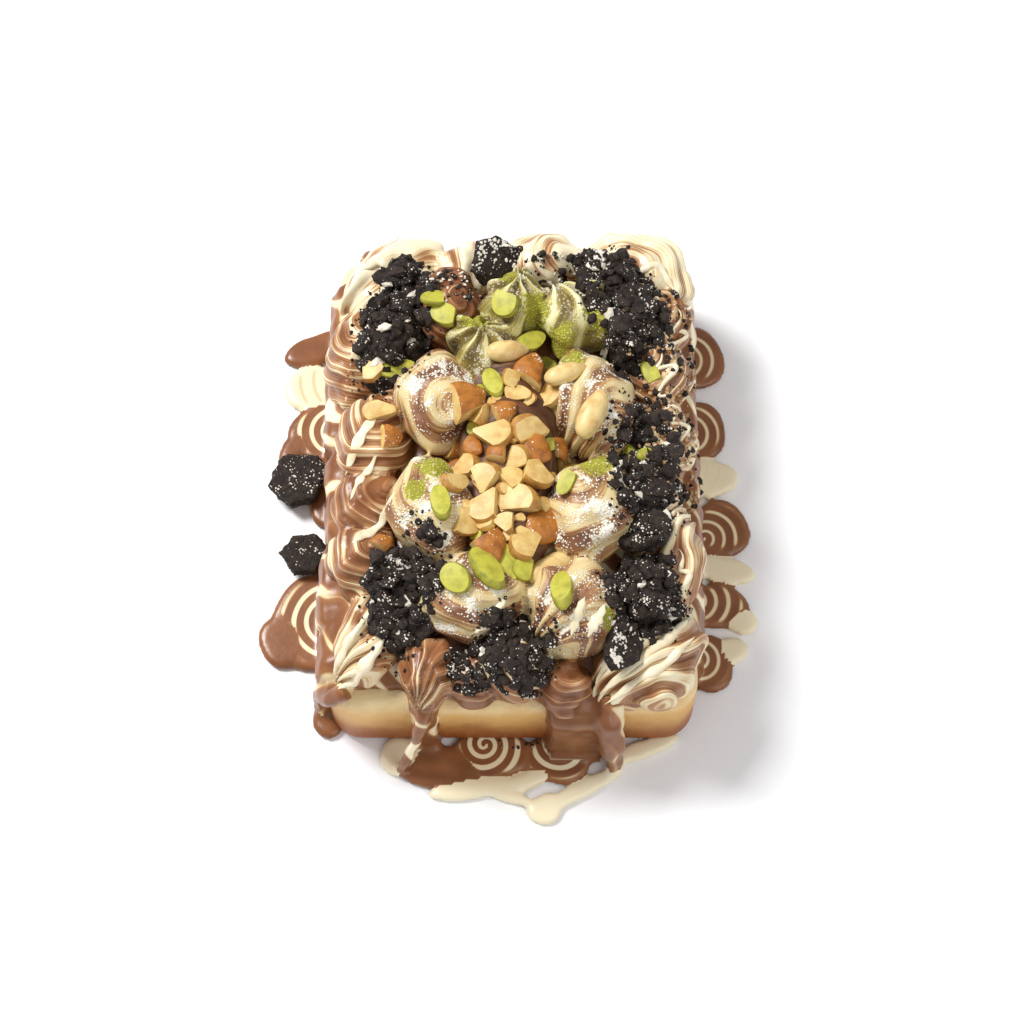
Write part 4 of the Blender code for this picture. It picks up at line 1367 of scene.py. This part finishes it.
CORDS = (
    Cord(((56.4, -58.2), (50, -66), (38, -76), (27.7, -82.2)), 1.9, 1.5),
    Cord(((57.9, -65.2), (46.5, -76.7), (29.3, -85.0)), 1.6, 1.3),
    Cord(((36.5, -64.4), (31.5, -72.0), (26.4, -79.2)), 2.0, 1.5),
    Cord(((58.0, -73.2), (48.3, -81.0), (35.0, -85.0)), 1.3, 1.1),
    Cord(((-40.0, -66.0), (-47.0, -75.0), (-55.0, -80.5)), 2.1, 1.6),
    Cord(((-37.5, -75.0), (-46.0, -80.0), (-54.0, -82.5)), 1.6, 1.3),
    Cord(((-46.0, -60.0), (-52.5, -68.0), (-56.5, -77.0)), 1.3, 1.0),
    Cord(((-1.5, -57.5), (-6.9, -63.5), (-11.6, -68.0)), 1.9, 0.8),
    Cord(((-4.0, -61.8), (-8.8, -66.5), (-13.0, -68.0)), 1.2, 0.7),
    Cord(((22.7, -58.9), (20.0, -65.0), (18.4, -70.0)), 1.6, 0.8),
    Cord(((29.0, -60.3), (26.0, -66.0), (23.6, -70.0)), 1.9, 0.9),
    Cord(((-42.6, 12.1), (-49.6, 0.8), (-54.3, -9.7)), 1.7, 0.45),
    Cord(((-36.8, -20.4), (-45.0, -29.8), (-51.4, -34.9)), 1.5, 0.45),
    Cord(((-43.5, -3.1), (-48.6, -11.8), (-52.4, -19.4)), 1.2, 0.4),
    Cord(((-34.0, 62.0), (-44.0, 72.0), (-54.0, 69.0)), 1.8, 1.2),
    Cord(((40.0, 66.0), (50.0, 70.0), (56.0, 60.0)), 1.4, 1.0),
    Cord(((46.0, 34.0), (53.0, 26.0), (47.0, 16.0)), 0.8, 0.8, 2.2),
    Cord(((54.0, 52.0), (57.0, 42.0), (50.0, 34.0)), 0.8, 0.8, 2.4),
    Cord(((38.0, -24.0), (46.0, -29.0), (53.0, -26.0)), 0.9, 0.8, 2.0),
    Cord(((50.0, 12.0), (57.0, 6.0), (54.0, -6.0)), 0.8, 0.7, 1.8),
    Cord(((53.0, -38.0), (56.0, -46.0), (54.0, -54.0)), 1.0, 0.8, 1.0),
    Cord(((30.0, 40.0), (33.0, 32.0), (31.0, 24.0)), 0.9, 0.8, 1.6),
)


@dataclass
class Cords:
    """Cords and fine threads of white chocolate that lie over the creams."""

    surface: Surface
    frame: Frame
    points: int = 40
    sides: int = 12
    lift: float = 0.25

    def cord(self, cord: Cord) -> bpy.types.Object | None:
        """Lays one cord over what is under it.

        Args:
            cord: Its path and size.

        Returns:
            The cord in the row frame, or None where nothing lies under its path.
        """
        stops = np.array(cord.path, float)
        way = np.linspace(0, len(stops) - 1, self.points)
        share = np.linspace(0, 1, self.points)
        x, y = (np.interp(way, range(len(stops)), stops[:, k]) for k in (0, 1))
        inner = (share > 0.12) & (share < 0.88)
        for line in (x, y):
            line[inner] = np.convolve(line, np.ones(9) / 9, "same")[inner]
        x = x + cord.curl * np.sin(share * 16)
        y = y + cord.curl * np.cos(share * 13)
        flat = self.frame.place(np.column_stack((x, y, 0 * x)))
        found = [self.surface.drop(*at[:2]) for at in flat]
        if not all(found):
            return None
        z = np.array([hit[0].z for hit in found]) / MM
        z = np.convolve(np.pad(z, 3, "edge"), np.ones(7) / 7, "valid")
        line = np.column_stack((x, y, z + cord.half_height * self.lift))
        along = np.gradient(line[:, :2], axis=0)
        along /= np.linalg.norm(along, axis=1)[:, None]
        taper = np.clip(1 - np.abs(2 * share - 1) ** 2.4, 0.08, 1)
        taper *= 1 + 0.18 * np.sin(share * 23 + cord.path[0][0])
        a = np.linspace(0, TURN, self.sides, endpoint=False)
        rings = []
        for i, at in enumerate(line):
            side = np.array((-along[i, 1], along[i, 0], 0.0)) * cord.half_width * taper[i]
            up = np.array((0.0, 0.0, cord.half_height * taper[i]))
            rings.append(self.frame.place(at + np.cos(a)[:, None] * side + np.sin(a)[:, None] * up))
        return stacked("cord", rings)

    def mesh(self) -> bpy.types.Object:
        """Lays all the cords and joins them."""
        laid = [self.cord(cord) for cord in CORDS]
        return join([cord for cord in laid if cord], "cords_of_white_chocolate")


@dataclass(frozen=True)
class Shard:
    """A broken bit of flat black biscuit, turned about Z and tipped about its long side.

    The last number is how much of its top is dusted with sugar.
    """

    at: tuple[float, float, float]
    radius: float
    thickness: float
    turn: float
    tip: float
    stretch: float = 1.3
    dusted: float = 0.0


SHARDS = {
    "biscuit_back": Shard((-6.0, 67.0, 58), 9.0, 4.0, 35, 40, dusted=0.25),
    "biscuit_back_right": Shard((30.0, 63.5, 56), 9.5, 4.5, -25, 30, dusted=0.2),
    "biscuit_right_4": Shard((38.5, 41.0, 57), 9.0, 5.0, 75, 35, dusted=0.1),
    "biscuit_right_3": Shard((44.0, -15.0, 56), 8.5, 4.5, 60, 30, dusted=0.1),
    "biscuit_right_2": Shard((42.5, -33.0, 55), 8.0, 4.5, 20, -25),
    "biscuit_right_1": Shard((44.0, -55.0, 55), 9.0, 5.0, 50, 30, dusted=0.1),
    "biscuit_front_right": Shard((35.0, -71.0, 53), 8.0, 5.0, 80, 35, 1.15, 0.25),
    "biscuit_back_left": Shard((-36.5, 64.0, 53), 6.5, 6.0, 20, 15),
    "biscuit_left_2": Shard((-41.0, 40.0, 56), 9.5, 6.5, 50, 10),
    "biscuit_left_1": Shard((-39.0, -47.0, 53), 8.5, 5.0, 20, 20, dusted=0.15),
    "biscuit_puddle_back": Shard((-74.5, 9.0, 6.4), 9.5, 5.5, 15, 8),
    "biscuit_puddle_front": Shard((-71.0, -19.0, 6.2), 8.0, 5.5, 5, 10),
}

CRUMB_HEAPS = {
    "crumb_heap_back_left": Lump((-39.0, 44.0, 45), (13.0, 25.0, 12), -12),
    "crumb_heap_front_left": Lump((-33.5, -52.0, 44), (12.5, 20.0, 12), -8),
    "crumb_heap_back_right": Lump((37.5, 50.0, 46), (13.5, 24.0, 13), 14),
    "crumb_heap_mid_right": Lump((43.0, -11.0, 45), (12.0, 25.0, 13)),
    "crumb_heap_front_right": Lump((42.0, -52.0, 45), (13.0, 14.0, 12)),
}

# The lump of cream in front that crumbs cover, and the strips where they lie thinly.
CRUMBED_LUMP = Lump((0.5, -72.5, 44.0), (12.4, 12.4, 13.4))
THINLY_CRUMBED = (
    Lump((-12, -76, 40), (9, 8, 5)),
    Lump((50, 40, 40), (13, 24, 5)),
    Lump((52, 0, 40), (12, 24, 5)),
    Lump((42, -62, 40), (12, 8, 5)),
    Lump((-24, 58, 40), (16, 9, 5)),
    Lump((10, 68, 40), (14, 7, 5)),
)


@dataclass(frozen=True)
class Sprinkle:
    """How many crumbs fall on a heap, their smallest and largest radius, and their spread.

    The spread is how far out they go, in the heap's radii.
    """

    count: int
    low: float
    high: float
    spread: float = 1.0


COARSE = Sprinkle(210, 0.6, 3.2)
FINE = Sprinkle(260, 0.3, 0.9, 1.22)
HEAP_ICING = Sprinkle(11, 0.9, 2.3, 0.9)
SPLINTERS = Sprinkle(16, 2.0, 4.2, 0.85)
FRONT_CRUMBS = Sprinkle(90, 0.8, 2.2)
THIN_CRUMBS = Sprinkle(90, 0.35, 1.7)
THIN_ICING = Sprinkle(34, 0.35, 1.1)
WAFER = Sprinkle(230, 0.3, 1.1)

# A crumb's place in metres and its radius in millimetres.
Spot = tuple[float, float, float, float]


@dataclass
class Biscuits:
    """Black sandwich biscuit broken into shards and crumbled, with bits of its white icing.

    The profile gives a shard's height and width from its underside to its top, as shares.
    """

    frame: Frame
    surface: Surface
    corners: int = 6
    outline_points: int = 72
    profile: tuple[tuple[float, float], ...] = (
        (-1, 0.1),
        (-1, 0.5),
        (-1, 0.75),
        (-0.98, 0.93),
        (-0.5, 1.0),
        (0, 0.98),
        (0.5, 1.0),
        (0.98, 0.92),
        (1, 0.75),
        (1, 0.5),
        (1, 0.3),
        (1, 0.1),
    )
    sorts: int = 8
    draw: random.Random = field(default_factory=lambda: random.Random(5))

    def shard(self, name: str, shard: Shard, seed: int) -> bpy.types.Object:
        """Builds one shard with a ragged outline, crumbled sides and sugar on part of its top.

        Args:
            name: The CAD node that it stands for.
            shard: Its place and size.
            seed: The seed of its outline.

        Returns:
            The shard, in the row frame.
        """
        outline = self.ragged_outline(shard.radius, random.Random(seed))
        half = shard.thickness / 2
        rings = []
        for height, share in self.profile:
            level = np.full(self.outline_points, height * half * 0.94)
            rings.append(np.column_stack((outline * share * (shard.stretch, 1.0), level)))
        obj = stacked(name + "_broken", rings)
        apply_modifier(obj, "SUBSURF", levels=1, render_levels=1, subdivision_type="SIMPLE")
        local = points_of(obj)
        normals = normals_of(obj)
        jag = 0.8 * rough(local, 2.4, seed) + 0.5 * rough(local, 1.0, seed) - 0.2
        local += normals * (jag * (1 - 0.85 * np.abs(normals[:, 2])))[:, None]
        move_points(obj, local)
        edge = shard.radius * (1 - 2 * shard.dusted)
        blot = rough(local, 4, seed) * 3
        for face in obj.data.polygons:
            on_top = face.center.z > half * 0.6
            past_edge = face.center.y + blot[face.vertices[0]] > edge * 0.35
            face.material_index = 1 if shard.dusted and on_top and past_edge else 0
        tip = Matrix.Rotation(math.radians(shard.tip), 3, "X")
        turn = Matrix.Rotation(math.radians(shard.turn), 3, "Z")
        move_points(obj, self.frame.place(local @ np.array(turn @ tip).T + np.array(shard.at)))
        return obj

    def ragged_outline(self, radius: float, draw: random.Random) -> np.ndarray:
        """Draws a shard's outline: straight edges between corners that lie unevenly.

        Args:
            radius: The shard's radius.
            draw: Where its random numbers come from.

        Returns:
            The outline's points.
        """
        reach = np.array([radius * draw.uniform(0.78, 1.14) for _ in range(self.corners)])
        shift = np.array([draw.uniform(-0.3, 0.3) for _ in reach])
        at = (np.arange(self.corners) + shift) * TURN / self.corners
        tips = np.column_stack((np.cos(at) * reach, np.sin(at) * reach))
        along = np.linspace(0, self.corners, self.outline_points, endpoint=False)
        before = along.astype(int)
        share = (along - before)[:, None]
        return (tips[before] * (1 - share) + tips[(before + 1) % self.corners] * share) * 0.97

    def heap_core(self, name: str, heap: Lump, seed: int) -> bpy.types.Object:
        """Builds a heap's own bumpy core, which the loose crumbs cover.

        Args:
            name: The core's name.
            heap: Its place and size.
            seed: The seed of its bumps.

        Returns:
            The core, in the row frame.
        """
        ball = unit_ball(96, 60)
        points = heap.shape(points_of(ball) * 0.94)
        out = points - np.array(heap.at)
        out /= np.linalg.norm(out, axis=1)[:, None]
        bumps = 1.3 * rough(points, 3.2, seed) + 0.9 * rough(points, 1.4, seed) - 0.8
        move_points(ball, self.frame.place(points + out * bumps[:, None]))
        ball.name = ball.data.name = name + "_crumbled"
        return ball

    def rocks(
        self, squash: tuple[float, float, float]
    ) -> tuple[list[np.ndarray], list[tuple[int, ...]]]:
        """Makes a few different jagged crumbs of unit size to copy.

        Args:
            squash: Their length, width and height.

        Returns:
            The points of each, and the faces that all share.
        """
        rock = unit_rock(1)
        unit = points_of(rock)
        faces = [tuple(face.vertices) for face in rock.data.polygons]
        bpy.data.objects.remove(rock, do_unlink=True)
        made = []
        for _ in range(self.sorts):
            jag = np.array([self.draw.uniform(0.62, 1.22) for _ in unit])
            made.append(unit * jag[:, None] * np.array(squash))
        return made, faces

    def scatter(
        self, name: str, spots: list[Spot], squash: tuple[float, float, float]
    ) -> bpy.types.Object:
        """Copies the crumbs to their places, each turned its own way, as one mesh.

        Args:
            name: The object's name.
            spots: Their places and radii.
            squash: Their length, width and height.

        Returns:
            The crumbs, in the row frame.
        """
        rocks, faces = self.rocks(squash)
        points, skin = [], []
        for i, (x, y, z, radius) in enumerate(spots):
            way = Vector((self.draw.gauss(0, 1), self.draw.gauss(0, 1), self.draw.gauss(0, 0.6)))
            spin = np.array(way.to_track_quat("X", "Z").to_matrix())
            rock = rocks[i % self.sorts]
            points.append(rock @ spin.T * radius * MM + np.array((x, y, z)))
            skin += [tuple(v + len(rock) * i for v in face) for face in faces]
        mesh = bpy.data.meshes.new(name)
        mesh.from_pydata(np.concatenate(points).tolist(), [], skin)
        obj = bpy.data.objects.new(name, mesh)
        bpy.context.scene.collection.objects.link(obj)
        return obj

    def spots_on(self, heap: Lump, sprinkle: Sprinkle) -> list[Spot]:
        """Picks places for crumbs on a heap, small ones far more often than large.

        Args:
            heap: The heap.
            sprinkle: How many, of what size and how far out.

        Returns:
            Their places and radii.
        """
        spots, turned = [], heap.turned()
        for _ in range(sprinkle.count):
            a, r = self.draw.uniform(0, TURN), math.sqrt(self.draw.random()) * sprinkle.spread
            local = np.array((math.cos(a) * r * heap.radii[0], math.sin(a) * r * heap.radii[1], 0.0))
            x, y, _ = self.frame.place((turned @ local + np.array(heap.at))[None])[0]
            found = self.surface.drop(x, y)
            radius = sprinkle.low + (sprinkle.high - sprinkle.low) * self.draw.random() ** 2.2
            if found:
                spots.append((x, y, found[0].z + radius * 0.3 * MM, radius))
        return spots


@dataclass
class Studio:
    """A plain pale floor, soft light and a camera at the photograph's angle.

    Each lamp has its name, its place and width in metres, and its power in watts.
    """

    frame: Frame
    floor_size: float = 6.0
    floor_drop: float = 0.0003
    focal_px: float = 2253.0
    frame_px: float = 1024.0
    sensor_mm: float = 36.0
    camera_mm: tuple[float, float, float] = (0.0, -331.0, 710.0)
    elevation: float = 65.0
    lamps: tuple[tuple[str, tuple[float, float, float], float, float], ...] = (
        ("key_softbox", (-0.68, 0.42, 1.05), 0.42, 18.5),
        ("fill_softbox", (0.9, -0.8, 1.1), 1.2, 9.0),
    )
    sky: float = 0.44

    def build(self) -> None:
        """Makes the floor, the lights, the world and the camera."""
        deselect()
        bpy.ops.mesh.primitive_plane_add(size=self.floor_size, location=(0, 0, -self.floor_drop))
        floor = bpy.context.object
        floor.name = "studio_floor"
        # Backdrop paper: flat white without any gloss that would mirror the food.
        paper = "matt_white_backdrop_paper"
        _, shader = new_shader(paper, 0.7)
        shader.inputs["Base Color"].default_value = linear("#FAFAFB")
        floor.data.materials.append(bpy.data.materials[paper])
        for name, place, size, power in self.lamps:
            deselect()
            bpy.ops.object.light_add(type="AREA", location=place)
            lamp = bpy.context.object
            lamp.name = name
            lamp.data.size = size
            lamp.data.energy = power
            lamp.rotation_euler = (-Vector(place)).to_track_quat("-Z", "Y").to_euler()
        world = bpy.data.worlds.new("soft_sky")
        bpy.context.scene.world = world
        world.use_nodes = True
        background = world.node_tree.nodes["Background"]
        background.inputs["Color"].default_value = linear("#F4F5F8")
        background.inputs["Strength"].default_value = self.sky
        bpy.context.scene.view_settings.view_transform = "Standard"
        data = bpy.data.cameras.new("photo_camera")
        data.sensor_width = self.sensor_mm
        data.sensor_fit = "HORIZONTAL"
        data.lens = self.focal_px / self.frame_px * self.sensor_mm
        data.clip_end = 20.0
        camera = bpy.data.objects.new("photo_camera", data)
        bpy.context.scene.collection.objects.link(camera)
        camera.location = self.frame.place(np.array([self.camera_mm]))[0]
        camera.rotation_euler = (math.radians(90 - self.elevation), 0, 0)
        bpy.context.scene.camera = camera


@dataclass
class Waffle:
    """The whole dessert, from the waffle up."""

    frame: Frame
    surface: Surface = field(default_factory=Surface)
    crust_angle: float = 50.0
    cut_angle: float = 35.0
    fillers: int = 34

    def lay(
        self, piece: bpy.types.Object, paints: list[bpy.types.Material], slot: str, *nodes: str
    ) -> None:
        """Finishes a piece as finish_piece says, and lets later pieces lie on it."""
        finish_piece(piece, paints, slot, *nodes)
        self.surface.add(piece)

    def build_base(self) -> None:
        """Builds the waffle and the sauce."""
        slab = Slab(self.frame)
        waffle = slab.mesh()
        finish_piece(waffle, [BakedBatter().material("baked_waffle_batter")], "waffle", "waffle")
        waffle.data.set_sharp_from_angle(angle=math.radians(self.crust_angle))
        sauce = Sauce(self.frame, slab).mesh()
        # Poured sauce: a little glossier and smoother than the piped cream, with few fine streaks.
        poured = StirredChocolate(
            "#8F5C38",
            "#7F4F2F",
            "#9D6A42",
            pitch_mm=3.6,
            broad=1.3,
            fine=0.8,
            roughness=0.28,
            relief_mm=0.12,
        )
        paint = poured.material("sauce_of_two_chocolates")
        self.lay(sauce, [paint], "marbled_chocolate", "marbled_sauce")

    def build_creams(self) -> None:
        """Builds the marbled, the sugared and the pistachio cream, and the cords on them."""
        stirred = StirredChocolate().material("cream_of_two_chocolates")
        for name, lumps in MARBLED.items():
            mass = CreamMass(name + "_piled", lumps, self.frame).mesh()
            self.lay(mass, [stirred], "marbled_chocolate", name)
        cloud = CreamMass("sugared_cream_piled", SUGARED, self.frame, green_spots=CLOUD_GREEN).mesh()
        paint = SugaredCream().material("cream_under_icing_sugar")
        self.lay(cloud, [paint], "sugared_chocolate", "sugared_cream")
        folds = CreamMass("pistachio_cream_folded", POWDERED, self.frame, green_spots=FOLDS_GREEN).mesh()
        # Pistachio cream: olive and pale green streaks, half under sugar and ground nut.
        under = StirredChocolate("#8D7A3E", "#6C5B2E", "#AB9C54", "#CDC582", "#E8E0AE", 11.0, 0.9, 2.8)
        paint = SugaredCream(under=under, sugared=0.5).material("cream_with_ground_pistachio")
        self.lay(folds, [paint], "pistachio_cream", "pistachio_cream")
        cords = Cords(self.surface, self.frame).mesh()
        # White chocolate set in the air: smooth ivory with a soft gloss.
        white = DryFood("#F4E8CB", "#E7D5AC", 4.0, 0.35, 0.04).material("white_chocolate_in_cords")
        finish_piece(cords, [white], "marbled_chocolate")

    def build_biscuits(self) -> None:
        """Builds the shards and the heaps' cores, and then the crumbs on them."""
        # Cocoa biscuit: matt near-black crumb, coarse to the touch, with a few dots of sugar.
        black = DryFood("#1A120D", "#38281D", 1.6, 0.75, 0.5, 0.3).material("black_cocoa_biscuit")
        # The same biscuit where icing sugar has caught on it.
        dusted = DryFood("#1B1410", "#3A2B20", 1.6, 0.75, 0.5, 0.62).material("biscuit_dusted_with_sugar")
        biscuits = Biscuits(self.frame, self.surface)
        for i, (name, shard) in enumerate(SHARDS.items()):
            self.lay(biscuits.shard(name, shard, 7 + i), [black, dusted], "biscuit", name)
        for i, (name, heap) in enumerate(CRUMB_HEAPS.items()):
            self.lay(biscuits.heap_core(name, heap, i), [black], "biscuit", name)
        self.lay(biscuits.heap_core("front_lump", CRUMBED_LUMP, 9), [black], "biscuit")
        self.build_crumbs(biscuits, black)

    def build_crumbs(self, biscuits: Biscuits, black: bpy.types.Material) -> None:
        """Scatters the crumbs, splinters, icing and wafer.

        Args:
            biscuits: What makes them.
            black: The biscuit's material.
        """
        heaps = (*CRUMB_HEAPS.values(), CRUMBED_LUMP)
        crumbs, flakes, flat, rubble = [], [], [], []
        for heap in heaps:
            crumbs += biscuits.spots_on(heap, COARSE)
            crumbs += biscuits.spots_on(heap, FINE)
            flakes += biscuits.spots_on(heap, HEAP_ICING)
        crumbs += biscuits.spots_on(THINLY_CRUMBED[0], FRONT_CRUMBS)
        for strip in THINLY_CRUMBED:
            crumbs += biscuits.spots_on(strip, THIN_CRUMBS)
            flakes += biscuits.spots_on(strip, THIN_ICING)
        for heap in heaps:
            flat += biscuits.spots_on(heap, SPLINTERS)
        splinters = biscuits.scatter("flat_biscuit_splinters", flat, (1.35, 1.1, 0.42))
        finish_piece(splinters, [black], "biscuit")
        loose = biscuits.scatter("loose_black_crumbs", crumbs, (1.15, 1.0, 0.85))
        finish_piece(loose, [black], "biscuit")
        # Dried icing: chalky off-white, from between the two biscuits.
        icing = DryFood("#E9E1D2", "#CFC3AE", 1.2, 0.7, 0.3).material("dried_white_icing")
        bits = biscuits.scatter("bits_of_white_icing", flakes, (1.6, 0.8, 0.5))
        finish_piece(bits, [icing], "biscuit")
        for strip in THINLY_CRUMBED[1:3]:
            rubble += biscuits.spots_on(strip, WAFER)
        # Wafer: dry and light tan, with darker baked specks.
        tan = DryFood("#C4A276", "#8E6A44", 1.5).material("crumbled_tan_wafer")
        wafer = biscuits.scatter("bits_of_tan_wafer", rubble, (1.2, 1.0, 0.8))
        finish_piece(wafer, [tan], "biscuit")
        for piece in (loose, bits, wafer, splinters):
            piece.data.shade_flat()

    def build_nuts(self) -> None:
        """Builds the bed of chocolate under the nuts, dark brown as painted shade between them, and the
        nuts.
        """
        bed = CreamMass("nut_bed", (NUT_BED,), self.frame).mesh()
        # The bed's dark brown is painted shade: it stands in for the shadow in the gaps between the nuts.
        shade_dark_bed = StirredChocolate("#6A4328", "#4C2E1A", "#85582F", "#8D6A42", "#B08A58", roughness=0.5)
        self.lay(bed, [shade_dark_bed.material("milk_chocolate_under_the_nuts")], "nuts", "nut_heap")
        # Cut flesh is smooth, waxy and paler than the outside.
        flesh = DryFood("#DBBD78", "#C89E58", 3.5, 0.42, 0.08).material("cut_nut_flesh")
        green = DryFood("#BDB843", "#A09C35", 3.0, 0.5, 0.1).material("cut_pistachio_flesh")
        # Outsides: roasted gold, pale and smooth, wrinkled red-brown skin, and dull green.
        finishes = {
            Kind.BLANCHED: (DryFood("#BE8E46", "#A27032", 2.5, 0.45, 0.1, 0.14), flesh),
            Kind.KERNEL: (DryFood("#E3C98A", "#CDA665", 4.0, 0.4, 0.08), flesh),
            Kind.ALMOND: (DryFood("#B5722A", "#94571B", 3.0, 0.45, 0.25, 0.24), flesh),
            Kind.PISTACHIO: (DryFood("#A6A036", "#7F802B", 2.5, 0.5, 0.12), green),
        }
        paints = {kind: (skin.material(kind.value), cut) for kind, (skin, cut) in finishes.items()}
        maker = Nuts(self.frame, self.surface, paints)
        wanted = (*HEAPED_NUTS, *NUTS_APART, *maker.filler(self.fillers))
        for kind in paints:
            nuts = [maker.place(nut) for nut in wanted if nut[0] is kind]
            piece = join([nut for nut in nuts if nut], kind.value)
            finish_piece(piece, [], "nuts")
            piece.data.set_sharp_from_angle(angle=math.radians(self.cut_angle))


def main() -> None:
    """Builds every piece in order, from the waffle up, and the studio round it."""
    logging.basicConfig(level=logging.INFO, format="%(name)s: %(message)s")
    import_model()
    low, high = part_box("waffle")
    middle = (low + high) / 2 / MM
    frame = Frame((middle.x, middle.y))
    waffle = Waffle(frame)
    waffle.build_base()
    waffle.build_creams()
    waffle.build_biscuits()
    waffle.build_nuts()
    Studio(frame).build()
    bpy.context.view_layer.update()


if __name__ == "__main__":
    main()
